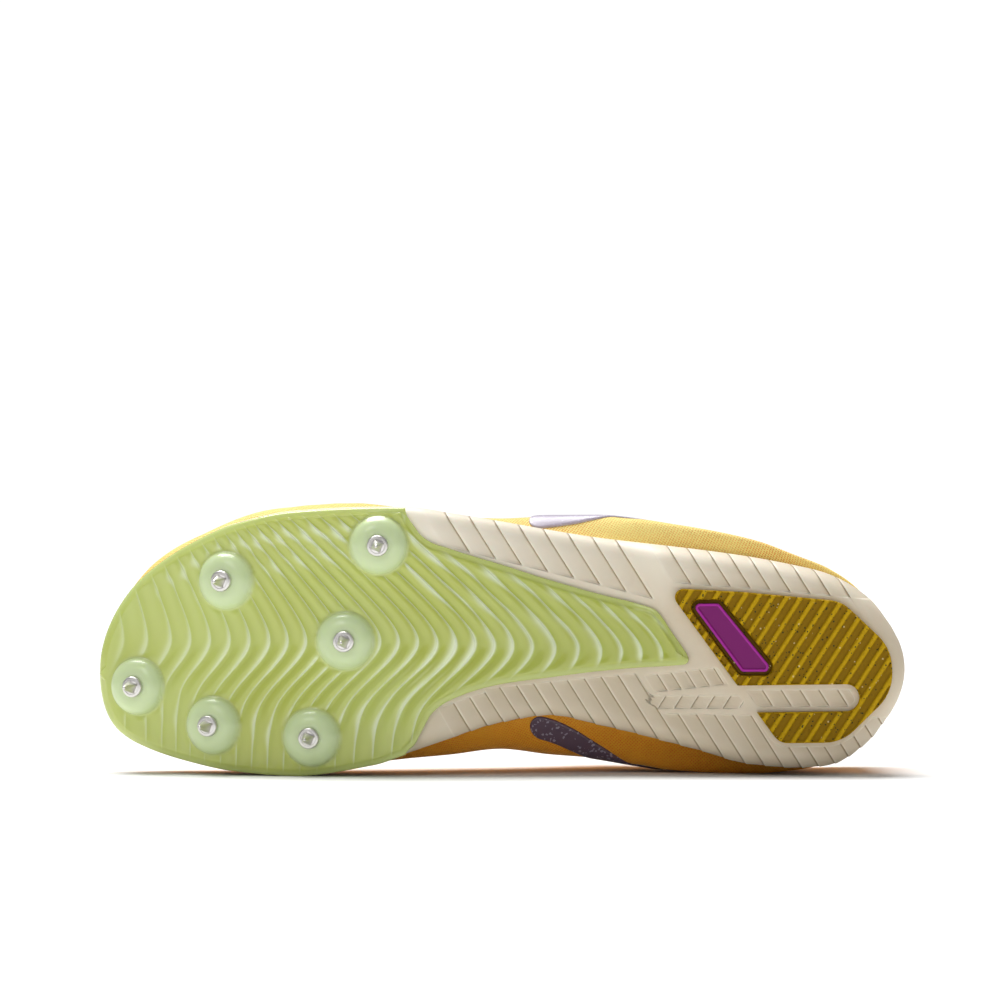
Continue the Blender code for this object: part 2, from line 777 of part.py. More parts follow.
def add_groove(bm, start, way, side):
    """One groove from its inner end out over the edge of the foam."""
    reach = 0.0
    while abs(start.y + way.y * reach) < abs(sole_edge((start.x + way.x * reach) / SHOE_LENGTH, side)):
        reach += 0.0005
        if reach > BALL_WIDTH:
            return
    across = Vector((-way.y, way.x)) * GROOVE_WIDTH / 2
    sections = []
    for run, depth in ((0.0, 0.0003), (0.0015, GROOVE_DEPTH), (max(reach - 0.0045, 0.002), GROOVE_DEPTH),
                       (reach - 0.001, GROOVE_DEPTH + 0.0010), (reach + 0.0025, GROOVE_DEPTH + 0.0035)):
        spot = start + way * run
        low = underside(spot.x)
        ends = [spot - across, spot + across]
        sections.append([(ends[0].x, ends[0].y, low - 0.002), (ends[1].x, ends[1].y, low - 0.002),
                         (ends[1].x, ends[1].y, low + depth * 0.2), (spot.x, spot.y, low + depth),
                         (ends[0].x, ends[0].y, low + depth * 0.2)])
    loops = add_rings(bm, sections)
    bm.faces.new(loops[0])
    bm.faces.new(loops[-1])


def make_plate(material):
    """Spike plate: wraps the forefoot, tapers to a tail under the waist, six bosses."""
    length_share = TAIL_EDGE[-1].at
    rings = [[] for _ in range(8)]
    for turn in turns():
        edge = inset_point(turn, 0.0, plate_edge, length_share)
        around = wrap(edge.x)
        rim = PLATE_RIM + (1.0 - around) * 0.0004
        profile = [(0.0050, 0.0), (0.0018, 0.0006), (0.0003, 0.0018), (0.0, 0.0022 + around * 0.0010),
                   (around * WRAP_LEAN, PLATE + around * PLATE_WRAP), (rim, PLATE + around * PLATE_WRAP),
                   (rim, PLATE + around * 0.0008), (0.0050, PLATE)]
        width = (edge - inset_point(math.tau - turn, 0.0, plate_edge, length_share)).length
        for ring, (inset, rise) in zip(rings, profile):
            point = inset_point(turn, min(inset, max(width * PINCH, 0.0001)), plate_edge, length_share)
            point.z = underside(point.x) - PLATE - GAP + min(rise, PLATE + around * PLATE_WRAP)
            ring.append(point)
    plate = layer("spike_plate", rings, material)
    bm = bmesh.new()
    for boss in BOSSES:
        add_boss(bm, boss_frame(boss))
    cut(plate, new_object("boss_tool", bm, material), "UNION")
    return plate


def boss_frame(boss):
    """Frame on the plate's lower face, its z pointing out of the sole."""
    x = boss.at * SHOE_LENGTH
    step = 0.004
    slope = (underside(x + step) - underside(x - step)) / (2 * step)
    out = Vector((slope, 0.0, -1.0)).normalized()
    side = Vector((0.0, 1.0, 0.0))
    frame = Matrix((side.cross(out), side, out)).transposed().to_4x4()
    frame.translation = Vector((x, boss.across * BALL_WIDTH, underside(x) - PLATE - GAP))
    return frame


def add_boss(bm, frame):
    """Low dome with a flat top for the spike's flange."""
    sides = 18
    profile = [(BOSS_RADIUS, -BOSS_SUNK)]
    for k in range(4):
        turn = math.pi / 2 * k / 3
        profile.append((BOSS_TOP_RADIUS + (BOSS_RADIUS - BOSS_TOP_RADIUS) * math.cos(turn),
                        BOSS_HEIGHT * math.sin(turn)))
    loops = add_rings(bm, [[frame @ Vector((r * math.cos(math.tau * k / sides), r * math.sin(math.tau * k / sides), z))
                            for k in range(sides)] for r, z in profile])
    bm.faces.new(loops[0])
    bm.faces.new(loops[-1])


def make_spike(number, boss, material):
    """Round flange with a four-sided point."""
    frame = boss_frame(boss)
    sides = 12
    low = BOSS_HEIGHT + GAP
    half = SPIKE_WIDTH / 2
    flange = [(FLANGE_RADIUS, low), (FLANGE_RADIUS, low + FLANGE_THICKNESS * 0.7),
              (FLANGE_RADIUS * 0.8, low + FLANGE_THICKNESS), (half, low + FLANGE_THICKNESS),
              (half * 0.92, low + FLANGE_THICKNESS + SPIKE_LENGTH * 0.3),
              (0.0005, low + FLANGE_THICKNESS + SPIKE_LENGTH)]
    bm = bmesh.new()
    loops = add_rings(bm, [[frame @ Vector((r * math.cos(math.tau * k / sides), r * math.sin(math.tau * k / sides), z))
                            for k in range(sides)] for r, z in flange])
    bm.faces.new(loops[0])
    bm.faces.new(loops[-1])
    return new_object(f"spike_{number}", bm, material)


def make_heel_rubber(material):
    """Heel tread with slanted ribs inside a rim, a channel and the inlay's pocket."""
    rubber = prism("heel_rubber", rounded(RUBBER), 0.0, TREAD, material)
    ribs = rib_cutter()
    cut(ribs, prism("rib_field", rounded(RUBBER, grow=-RUBBER_RIM), -0.01, 0.01), "INTERSECT")
    cut(rubber, ribs)
    cut(rubber, prism("inlay_pocket", rounded(INLAY, grow=INLAY_MOAT), -0.01, 0.01))
    cut(rubber, channel_cutter())
    return rubber


def rib_cutter():
    """Slanted valleys across the whole tread."""
    bm = bmesh.new()
    first, last = RUBBER[0].at * SHOE_LENGTH, SHOE_LENGTH
    run = BALL_WIDTH / math.tan(RIB_SLANT)
    step = RIB_PITCH
    count = int((last - first + run) / step) + 1
    way = Vector((math.cos(RIB_SLANT), -math.sin(RIB_SLANT)))
    across = Vector((way.y, -way.x)) * RIB_VALLEY / 2
    for k in range(count):
        start = Vector((first - run / 2 + k * step, BALL_WIDTH / 2))
        end = start + way * (BALL_WIDTH / math.sin(RIB_SLANT))
        corners = [start - across, start + across, end + across, end - across]
        loops = add_rings(bm, [[(c.x, c.y, z) for c in corners] for z in (-0.002, RIB_DEPTH)])
        bm.faces.new(loops[0])
        bm.faces.new(loops[1])
    return new_object("rib_cutter", bm, None)


def channel_cutter():
    """Straight channel of one width with a round end."""
    start = Vector((CHANNEL_START.at * SHOE_LENGTH, CHANNEL_START.across * BALL_WIDTH))
    end = Vector((CHANNEL_END.at * SHOE_LENGTH, CHANNEL_END.across * BALL_WIDTH))
    way = (end - start).normalized()
    side = Vector((-way.y, way.x)) * CHANNEL_WIDTH / 2
    points = [start - side]
    for k in range(9):
        turn = math.pi * (k / 8 - 0.5)
        points.append(end + way * math.cos(turn) * CHANNEL_WIDTH / 2 + side * math.sin(turn))
    points.append(start + side)
    return prism("channel_cutter", [(p.x, p.y) for p in points], -0.01, 0.01)


def make_heel_inlay(material):
    """Slanted plaque in its pocket, level with the ribs."""
    return prism("heel_inlay", rounded(INLAY), 0.0, TREAD, material)


# Lace

def lace_turns():
    """Turn of each lace bar along the throat."""
    first, last = LACE_SPAN
    return [ridge_turn(first + (last - first) * k / (LACE_BARS - 1)) for k in range(LACE_BARS)]


def eyelet_level(turn):
    """Level at which the eyelets of a station sit beside the throat."""
    level = 4.0
    ridge = upper_point(turn, 4.0)
    while level > 3.0:
        point = upper_point(turn, level)
        if ridge.y - point.y >= throat_half(point.x) + EYELET_MARGIN:
            break
        level -= 0.02
    return level


def eyelet_cutter():
    """Round holes through the wall beside the throat."""
    sides = 8
    bm = bmesh.new()
    for turn in lace_turns():
        level = eyelet_level(turn)
        for spot in (turn, math.tau - turn):
            centre = upper_point(spot, level)
            frame = upper_normal(spot, level).to_track_quat("Z", "X").to_matrix()
            rings = [[centre + frame @ Vector((EYELET_RADIUS * math.cos(math.tau * k / sides),
                                               EYELET_RADIUS * math.sin(math.tau * k / sides), z))
                      for k in range(sides)] for z in (-2.0 * WALL, WALL)]
            loops = add_rings(bm, rings)
            bm.faces.new(loops[0])
            bm.faces.new(loops[-1])
    return new_object("eyelet_cutter", bm, None)


def make_lace_bar(number, turn, material):
    """Flat bar of the lace across the throat, just clear of the upper."""
    level = eyelet_level(turn)
    steps = 4
    levels = [level + (4.0 - level) * k / steps for k in range(steps + 1)]
    path = [(turn, part) for part in levels] + [((math.tau - turn), part) for part in reversed(levels[:-1])]
    ridge = upper_point(turn, 4.0)
    along = (upper_point(turn + 0.03, 4.0) - upper_point(turn - 0.03, 4.0)).normalized()
    low = GAP + 0.0003
    rings = []
    for spot, part in path:
        centre = upper_point(spot, part)
        normal = upper_normal(spot, part)
        rings.append([centre + along * side * LACE_WIDTH / 2 + normal * lift
                      for side, lift in ((-1, low), (1, low), (1, low + LACE_THICKNESS), (-1, low + LACE_THICKNESS))])
    bm = bmesh.new()
    loops = add_rings(bm, rings)
    bm.faces.new(loops[0])
    bm.faces.new(loops[-1])
    return new_object(f"lace_bar_{number}", bm, material)


# Laying the shoe on its side

def solid_mass(obj, density):
    """Mass and first moment of a closed mesh."""
    volume = 0.0
    moment = Vector()
    mesh = obj.data
    mesh.calc_loop_triangles()
    for triangle in mesh.loop_triangles:
        a, b, c = (mesh.vertices[i].co for i in triangle.vertices)
        part = a.dot(b.cross(c)) / 6.0
        volume += part
        moment += (a + b + c) * part / 4.0
    return volume * density, moment * density


def resting_turn(pieces, densities):
    """Turn that lays the shoe on the hull face below its centre of mass."""
    mass = 0.0
    moment = Vector()
    bm = bmesh.new()
    for obj in pieces:
        part, first = solid_mass(obj, densities[obj.name])
        mass += part
        moment += first
        for vert in obj.data.vertices:
            bm.verts.new(vert.co)
    centre = moment / mass
    bmesh.ops.convex_hull(bm, input=bm.verts)
    down = Vector((0.0, 1.0, 0.0))
    faces = [(face.normal.copy(), face.calc_center_median()) for face in bm.faces if face.calc_area() > HULL_FACE]
    bm.free()
    for _ in range(40):
        hits = [((spot - centre).dot(normal) / down.dot(normal), normal)
                for normal, spot in faces if down.dot(normal) > 0.0]
        nearest = min(hits, key=lambda hit: hit[0])[1]
        if nearest.dot(down) > 0.9999999:
            break
        down = nearest.copy()
    return down, centre


def lay_down(pieces, densities):
    """Parent the pieces to an empty that lays the shoe on its medial side."""
    down, centre = resting_turn(pieces, densities)
    up = -down
    heelwards = Vector((1.0, 0.0, 0.0))
    heelwards = (heelwards - up * heelwards.dot(up)).normalized()
    turn = Matrix((heelwards, up.cross(heelwards), up)).to_4x4()
    corners = [turn @ vert.co for obj in pieces for vert in obj.data.vertices]
    low = Vector([min(corner[i] for corner in corners) for i in range(3)])
    high = Vector([max(corner[i] for corner in corners) for i in range(3)])
    base = bpy.data.objects.new("shoe", None)
    bpy.context.collection.objects.link(base)
    base.matrix_world = Matrix.Translation((-(low.x + high.x) / 2, -(low.y + high.y) / 2, -low.z)) @ turn
    for obj in pieces:
        obj.parent = base


def material(name, colour, roughness, metallic=0.0):
    """Plain Principled material."""
    made = bpy.data.materials.new(name)
    made.use_nodes = True
    shader = made.node_tree.nodes["Principled BSDF"]
    shader.inputs["Base Color"].default_value = (*colour, 1.0)
    shader.inputs["Roughness"].default_value = roughness
    shader.inputs["Metallic"].default_value = metallic
    return made


def main():
    """Model the shoe and lay it down."""
    for obj in list(bpy.data.objects):
        bpy.data.objects.remove(obj)
    knit = material("knit", (0.85, 0.42, 0.06), 0.85)
    padding = material("padding", (0.80, 0.45, 0.10), 0.90)
    sheet = material("sheet", (0.25, 0.25, 0.28), 0.90)
    foam = material("foam", (0.85, 0.78, 0.64), 0.60)
    plastic = material("plate_plastic", (0.45, 0.55, 0.18), 0.30)
    tread = material("tread", (0.45, 0.30, 0.02), 0.70)
    inlay = material("inlay", (0.25, 0.02, 0.22), 0.40)
    steel = material("steel", (0.60, 0.58, 0.55), 0.30, 1.0)
    print_film = material("film", (0.30, 0.24, 0.36), 0.50)
    cord = material("cord", (0.90, 0.55, 0.20), 0.85)

    light, dense, metal = 300.0, 1150.0, 7850.0
    densities = {}

    def keep(obj, density):
        densities[obj.name] = density
        return obj

    pieces = [
        keep(make_upper(knit), light),
        keep(make_tongue(padding), light),
        keep(make_insole(sheet), light),
        keep(make_midsole(foam), light),
        keep(make_plate(plastic), dense),
        keep(make_heel_rubber(tread), dense),
        keep(make_heel_inlay(inlay), dense),
    ]
    pieces.append(keep(make_side_bar("side_bar_lateral", LATERAL, print_film), light))
    pieces.append(keep(make_side_bar("side_bar_medial", MEDIAL, print_film), light))
    for number, boss in enumerate(BOSSES, start=1):
        pieces.append(keep(make_spike(number, boss, steel), metal))
    for number, turn in enumerate(lace_turns(), start=1):
        pieces.append(keep(make_lace_bar(number, turn, cord), light))
    lay_down(pieces, densities)


main()
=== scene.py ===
"""Looks of the track spike shoe, a left shoe lying on its medial side.

Every piece is worked out in the shoe's own frame, as its construction is: x from the toe
tip to the heel end, y from the lateral to the medial side, z from the ground to the
collar. The last step of each piece lays it down where the solids lie.
"""
import math
from collections import namedtuple

import bmesh
import bpy
import numpy as np
from mathutils import Matrix, Vector
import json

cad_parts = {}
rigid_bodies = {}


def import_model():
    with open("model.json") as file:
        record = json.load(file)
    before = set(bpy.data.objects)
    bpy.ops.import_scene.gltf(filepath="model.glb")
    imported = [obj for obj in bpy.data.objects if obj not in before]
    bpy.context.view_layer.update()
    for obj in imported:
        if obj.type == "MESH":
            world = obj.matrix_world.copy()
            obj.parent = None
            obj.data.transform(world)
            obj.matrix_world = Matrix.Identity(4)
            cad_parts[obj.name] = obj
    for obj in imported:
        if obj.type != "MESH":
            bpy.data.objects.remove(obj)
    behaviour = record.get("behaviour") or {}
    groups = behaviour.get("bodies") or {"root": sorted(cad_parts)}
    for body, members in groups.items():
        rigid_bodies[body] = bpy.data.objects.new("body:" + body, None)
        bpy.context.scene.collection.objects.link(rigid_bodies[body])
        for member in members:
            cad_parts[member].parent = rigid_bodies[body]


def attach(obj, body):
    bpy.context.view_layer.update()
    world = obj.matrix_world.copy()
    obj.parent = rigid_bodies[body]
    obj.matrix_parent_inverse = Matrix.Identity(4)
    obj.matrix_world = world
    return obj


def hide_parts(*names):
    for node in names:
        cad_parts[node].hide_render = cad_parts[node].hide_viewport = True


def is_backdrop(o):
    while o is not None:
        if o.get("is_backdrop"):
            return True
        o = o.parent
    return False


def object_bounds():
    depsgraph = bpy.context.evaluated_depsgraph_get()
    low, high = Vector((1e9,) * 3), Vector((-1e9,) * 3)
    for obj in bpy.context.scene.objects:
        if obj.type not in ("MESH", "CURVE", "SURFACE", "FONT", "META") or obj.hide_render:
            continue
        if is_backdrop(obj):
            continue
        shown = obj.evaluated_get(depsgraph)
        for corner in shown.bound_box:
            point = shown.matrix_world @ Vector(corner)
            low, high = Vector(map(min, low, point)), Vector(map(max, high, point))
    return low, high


for leftover in list(bpy.data.objects):
    bpy.data.objects.remove(leftover)
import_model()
cad_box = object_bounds()

# Main sizes of the shoe, metres
SHOE_LENGTH = 0.285
BALL_WIDTH = 0.094
INSTEP_HEIGHT = 0.078
COLLAR_HEIGHT = 0.088
TOE_SPRING = 0.032
ARCH_RISE = 0.0055
HEEL_SEAT = 0.0245

# Walls and layers
GAP = 0.0003
TONGUE_GAP = 0.0006
WALL = 0.0020
COLLAR_PADDING = 0.0040
PLATE = 0.0017
PLATE_RIM = 0.0010
PLATE_WRAP = 0.0055
WRAP_LEAN = 0.0005
TREAD = 0.0030
CUP_RIM = 0.0030
CUP_HEIGHT = 0.0035
INSOLE = 0.0032
INSOLE_FIT = 0.0012
TONGUE = 0.0040

# Throat, eyelets and lace
THROAT_HALF_WIDTH = 0.0095
THROAT_SPREAD = 0.0085
THROAT_FRONT = 0.335
EYELET_RADIUS = 0.0019
EYELET_MARGIN = 0.0065
LACE_WIDTH = 0.0062
LACE_THICKNESS = 0.0012
LACE_BARS = 6
LACE_SPAN = (0.365, 0.592)
TONGUE_SPAN = (0.295, 0.655)
TONGUE_STATIONS = 120
TONGUE_QUILTS = 7.0
PADDING_SPAN = (0.665, 0.760)

# Spikes and their bosses
BOSS_RADIUS = 0.0102
BOSS_TOP_RADIUS = 0.0048
BOSS_HEIGHT = 0.0042
FLANGE_RADIUS = 0.0037
FLANGE_THICKNESS = 0.0013
SPIKE_WIDTH = 0.0044
SPIKE_LENGTH = 0.0062

# Ribs, channel and inlay of the heel rubber, ribs of the foam
RIB_PITCH = 0.0050
RIB_VALLEY = 0.0026
RIB_DEPTH = 0.0012
RIB_SLANT = math.radians(57.0)
RUBBER_RIM = 0.0016
CHANNEL_WIDTH = 0.0095
INLAY_MOAT = 0.0014
POCKET_DEPTH = 0.0022
FOAM_SLANT = math.radians(58.0)
FOAM_RIB = 0.0007

# Waves moulded in the plate: their height, the step at each crest, the way from crest
# to crest, and how wide the painted highlight on a broad and on a fine crest is
WAVE_HEIGHT = 0.0005
CREST_STEP = 0.0006
CREST_PITCH = 0.0070
CREST_HIGHLIGHT_BROAD = 0.0024
CREST_HIGHLIGHT_FINE = 0.00046

# How the shoe lies: the floor's direction in its own frame, and where its toe tip goes
FLOORWARDS = Vector((-0.0018077, 0.9996164, -0.0276345))
LIES_AT = Vector((-0.1425198, -0.0465122, 0.0473941))

# Sole outline: shares of the length, then of the ball width
Edge = namedtuple("Edge", "at lateral medial")
SOLE_EDGE = [
    Edge(0.000, 0.138, 0.138),
    Edge(0.011, -0.030, 0.298),
    Edge(0.026, -0.119, 0.357),
    Edge(0.050, -0.212, 0.402),
    Edge(0.123, -0.368, 0.469),
    Edge(0.172, -0.433, 0.495),
    Edge(0.246, -0.482, 0.508),
    Edge(0.344, -0.497, 0.465),
    Edge(0.388, -0.495, 0.420),
    Edge(0.439, -0.472, 0.368),
    Edge(0.500, -0.441, 0.312),
    Edge(0.561, -0.407, 0.286),
    Edge(0.623, -0.376, 0.324),
    Edge(0.745, -0.331, 0.417),
    Edge(0.806, -0.305, 0.469),
    Edge(0.867, -0.270, 0.484),
    Edge(0.904, -0.242, 0.476),
    Edge(0.953, -0.160, 0.391),
    Edge(0.977, -0.074, 0.301),
    Edge(1.000, 0.112, 0.112),
]
TAIL_EDGE = [
    Edge(0.384, -0.495, 0.424),
    Edge(0.394, -0.432, 0.390),
    Edge(0.404, -0.392, 0.335),
    Edge(0.417, -0.366, 0.268),
    Edge(0.440, -0.342, 0.220),
    Edge(0.500, -0.285, 0.164),
    Edge(0.561, -0.225, 0.140),
    Edge(0.623, -0.171, 0.117),
    Edge(0.672, -0.134, 0.103),
    Edge(0.690, -0.115, 0.099),
    Edge(0.714, -0.019, 0.094),
    Edge(0.727, 0.037, 0.090),
    Edge(0.732, 0.074, 0.074),
]

# Underside of the foam: shares of the toe spring and of the arch, and how far the
# heel tread, not the plate, sets its height
Line = namedtuple("Line", "at spring arch heel")
UNDERSIDE = [
    Line(0.000, 1.000, 0.0, 0.0),
    Line(0.040, 0.820, 0.0, 0.0),
    Line(0.100, 0.590, 0.0, 0.0),
    Line(0.145, 0.415, 0.0, 0.0),
    Line(0.200, 0.250, 0.0, 0.0),
    Line(0.265, 0.105, 0.0, 0.0),
    Line(0.300, 0.055, 0.0, 0.0),
    Line(0.350, 0.015, 0.0, 0.0),
    Line(0.400, 0.000, 0.0, 0.0),
    Line(0.500, 0.000, 0.45, 0.0),
    Line(0.600, 0.000, 1.0, 0.2),
    Line(0.660, 0.000, 0.75, 0.6),
    Line(0.705, 0.000, 0.0, 1.0),
    Line(0.955, 0.000, 0.0, 1.0),
    Line(1.000, 0.060, 0.0, 1.0),
]
Seat = namedtuple("Seat", "at spring seat")
FOOTBED = [
    Seat(0.000, 0.960, 0.30),
    Seat(0.100, 0.590, 0.40),
    Seat(0.200, 0.260, 0.47),
    Seat(0.300, 0.070, 0.50),
    Seat(0.400, 0.000, 0.54),
    Seat(0.500, 0.000, 0.65),
    Seat(0.600, 0.000, 0.83),
    Seat(0.680, 0.000, 0.96),
    Seat(0.750, 0.000, 1.00),
    Seat(1.000, 0.000, 1.00),
]

# Widest line, shoulder and ridge of the upper: shares of the length, the ball width and
# the instep height, the rise being measured from the footbed
Ring = namedtuple("Ring", "at lateral medial rise")
BULGE = [
    Ring(0.010, 0.138, 0.138, 0.13),
    Ring(0.035, -0.150, 0.362, 0.13),
    Ring(0.075, -0.290, 0.415, 0.14),
    Ring(0.125, -0.378, 0.452, 0.15),
    Ring(0.220, -0.482, 0.488, 0.16),
    Ring(0.320, -0.505, 0.476, 0.17),
    Ring(0.390, -0.482, 0.457, 0.18),
    Ring(0.440, -0.455, 0.445, 0.19),
    Ring(0.500, -0.446, 0.425, 0.20),
    Ring(0.560, -0.452, 0.445, 0.20),
    Ring(0.620, -0.452, 0.464, 0.19),
    Ring(0.670, -0.443, 0.488, 0.140),
    Ring(0.720, -0.422, 0.510, 0.110),
    Ring(0.770, -0.396, 0.517, 0.085),
    Ring(0.820, -0.361, 0.518, 0.075),
    Ring(0.867, -0.308, 0.508, 0.075),
    Ring(0.910, -0.255, 0.478, 0.080),
    Ring(0.955, -0.150, 0.380, 0.090),
    Ring(0.985, 0.112, 0.112, 0.100),
]
SHOULDER = [
    Ring(0.050, 0.140, 0.140, 0.22),
    Ring(0.080, -0.070, 0.290, 0.27),
    Ring(0.120, -0.170, 0.345, 0.31),
    Ring(0.200, -0.290, 0.380, 0.38),
    Ring(0.300, -0.345, 0.375, 0.46),
    Ring(0.400, -0.350, 0.350, 0.53),
    Ring(0.500, -0.335, 0.345, 0.60),
    Ring(0.560, -0.325, 0.360, 0.66),
    Ring(0.620, -0.305, 0.372, 0.74),
    Ring(0.700, -0.265, 0.398, 0.80),
    Ring(0.800, -0.225, 0.408, 0.80),
    Ring(0.900, -0.150, 0.372, 0.80),
    Ring(0.950, -0.030, 0.275, 0.80),
    Ring(0.972, 0.112, 0.112, 0.80),
]
RIDGE = [
    Ring(0.105, 0.140, 0.140, 0.31),
    Ring(0.150, 0.120, 0.120, 0.40),
    Ring(0.200, 0.090, 0.090, 0.48),
    Ring(0.300, 0.040, 0.040, 0.61),
    Ring(0.400, 0.000, 0.000, 0.72),
    Ring(0.500, -0.015, -0.015, 0.83),
    Ring(0.560, -0.005, -0.005, 0.93),
    Ring(0.620, 0.020, 0.020, 1.06),
    Ring(0.680, 0.050, 0.050, 1.18),
    Ring(0.800, 0.085, 0.085, 1.25),
    Ring(0.960, 0.112, 0.112, 1.22),
]

# Top line of the collar seen from the side: shares of the length and the collar height
Top = namedtuple("Top", "at height")
COLLAR_LINE = [
    Top(0.575, 1.52),
    Top(0.608, 1.12),
    Top(0.632, 1.045),
    Top(0.680, 0.915),
    Top(0.735, 0.805),
    Top(0.790, 0.755),
    Top(0.850, 0.790),
    Top(0.910, 0.885),
    Top(0.955, 0.965),
    Top(1.050, 1.000),
]

# Bosses with their spikes: shares of the length and of the ball width
Boss = namedtuple("Boss", "at across")
BOSSES = [
    Boss(0.050, 0.182),
    Boss(0.145, 0.322),
    Boss(0.268, 0.361),
    Boss(0.162, -0.222),
    Boss(0.310, 0.000),
    Boss(0.351, -0.357),
]

# Waves of the plate, from toe to tail: where crests lie on the long axis and how many
# came before, how steeply they sweep back to the toe on both sides, and how far they
# go before they run straight out on the medial side, all shares of the length
Wave = namedtuple("Wave", "at crests lateral medial reach")
WAVES = [
    Wave(-0.030, -2.0, 0.25, 0.55, 0.020),
    Wave(0.031, 0.0, 0.30, 0.70, 0.026),
    Wave(0.092, 2.0, 0.42, 0.95, 0.032),
    Wave(0.216, 7.0, 0.66, 1.08, 0.062),
    Wave(0.376, 14.0, 1.05, 1.25, 0.080),
    Wave(0.540, 21.0, 1.18, 1.20, 0.082),
    Wave(0.625, 24.0, 1.20, 0.80, 0.050),
    Wave(0.724, 28.0, 1.20, 0.60, 0.030),
    Wave(0.950, 38.0, 1.20, 0.60, 0.030),
]

# How roundly the crests turn, and where they do: at the toe, and how much further
# across towards the tail, shares of the ball width
WAVE_BEND = 0.0070
WAVE_APEX = (0.000, 0.055)

# Rows of ribs in the foam: where each runs, where its inner ends lie at both limits, how
# wide it is, its pitch, the side it slants to and the way it slants
Row = namedtuple("Row", "first last start end width pitch side slant")
RIB_ROWS = [
    Row(0.432, 0.694, -0.352, -0.148, 1.0, 0.0077, -1, 1),
    Row(0.712, 0.985, -0.214, -0.140, 1.0, 0.0066, -1, 1),
    Row(0.428, 0.500, 0.245, 0.172, 1.0, 0.0063, 1, 1),
    Row(0.490, 0.668, 0.175, 0.124, 1.0, 0.0063, 1, 1),
    Row(0.676, 0.768, 0.130, 0.100, 0.0066, 0.0053, 1, 1),
    Row(0.684, 0.806, 0.206, 0.206, 0.0048, 0.0057, 1, -1),
    Row(0.640, 0.985, 0.268, 0.290, 1.0, 0.0063, 1, 1),
    Row(0.800, 0.930, 0.184, 0.184, 0.0062, 0.0066, 1, 1),
]

# Bare strip around the heel rubber, and the pitch of the rows that share their lines
RIB_MARGIN = 0.0013
RIB_STEP = 0.0063

# Corners of the heel rubber and of its inlay, each with the radius of its round
Corner = namedtuple("Corner", "at across radius")
RUBBER = [
    Corner(0.704, -0.196, 0.032),
    Corner(0.800, -0.180, 0.320),
    Corner(0.920, -0.145, 0.128),
    Corner(0.981, 0.030, 0.170),
    Corner(0.983, 0.195, 0.170),
    Corner(0.920, 0.382, 0.160),
    Corner(0.843, 0.384, 0.064),
    Corner(0.794, 0.178, 0.043),
]
INLAY = [
    Corner(0.735, -0.138, 0.016),
    Corner(0.769, -0.138, 0.016),
    Corner(0.830, 0.090, 0.016),
    Corner(0.830, 0.117, 0.016),
    Corner(0.797, 0.117, 0.016),
]
CHANNEL_START = Corner(0.700, 0.222, 0.0)
CHANNEL_END = Corner(0.925, 0.215, 0.0)

# Middle line of the side bars: shares of the length, and how far up the wall from the
# cup rim in shares of the instep height
Bar = namedtuple("Bar", "at reach")
SIDE_BAR = [
    Bar(0.540, 0.110),
    Bar(0.600, 0.180),
    Bar(0.660, 0.265),
    Bar(0.715, 0.350),
]
BAR_WIDTH = 0.0090
BAR_ROUND_END = 0.085
BAR_THICKNESS = 0.0005
BAR_STANDS_OFF = 0.000105

LATERAL, MEDIAL = -1, 1

# Levels of the upper: the rim of the cup and the ridge
CUP_LEVEL, RIDGE_LEVEL = 1.0, 4.0


# Curves of the shoe, for whole arrays at once

def value(rows, column, at):
    """Column of a table at shares of the length, smooth and round at both ends."""
    first, last = rows[0].at, rows[-1].at

    def angle(share):
        part = (np.asarray(share, float) - first) / (last - first)
        return np.arccos(1.0 - 2.0 * np.clip(part, 0.0, 1.0))

    turns = angle([row.at for row in rows])
    heights = np.array([getattr(row, column) for row in rows])
    slopes = np.diff(heights) / np.diff(turns)
    before, after = slopes[:-1], slopes[1:]
    mean = np.zeros(len(before))
    same = before * after > 0.0
    mean[same] = 2.0 * before[same] * after[same] / (before[same] + after[same])
    tangents = np.concatenate((slopes[:1], mean, slopes[-1:]))
    here = angle(at)
    k = np.clip(np.searchsorted(turns, here) - 1, 0, len(rows) - 2)
    span = turns[k + 1] - turns[k]
    t = (here - turns[k]) / span
    return ((2 * t ** 3 - 3 * t ** 2 + 1) * heights[k] + (t ** 3 - 2 * t ** 2 + t) * span * tangents[k]
            + (3 * t ** 2 - 2 * t ** 3) * heights[k + 1] + (t ** 3 - t ** 2) * span * tangents[k + 1])


def smooth(low, high, at):
    """Nought below low, one above high, with an easy passage."""
    t = np.clip((at - low) / (high - low), 0.0, 1.0)
    return t * t * (3.0 - 2.0 * t)


def stack(x, y, z):
    """Points from three arrays."""
    return np.stack(np.broadcast_arrays(x, y, z), -1)


def unit(vectors):
    """Vectors of length one."""
    return vectors / np.maximum(np.linalg.norm(vectors, axis=-1, keepdims=True), 1e-12)


def share_of(turn):
    """Share of a ring's own length that a turn has reached, 0 at the toe, pi at the heel."""
    return (1.0 - np.cos(turn)) / 2.0


def across(rows, turn, at):
    """Across column of the side that each turn is on."""
    lateral = np.mod(turn, math.tau) <= math.pi
    return np.where(lateral, value(rows, "lateral", at), value(rows, "medial", at)) * BALL_WIDTH


def sole_edge(turn, at):
    """Distance of the sole's edge from the long axis."""
    return across(SOLE_EDGE, turn, at)


def plate_edge(turn, at):
    """Edge of the spike plate: the sole's edge to the ball, then its tail."""
    return np.where(at <= TAIL_EDGE[0].at, across(SOLE_EDGE, turn, at), across(TAIL_EDGE, turn, at))


def outline_point(turn, edge=sole_edge, length_share=1.0):
    """Point of an outline in plan."""
    at = share_of(turn) * length_share
    return stack(at * SHOE_LENGTH, edge(turn, at), 0.0)


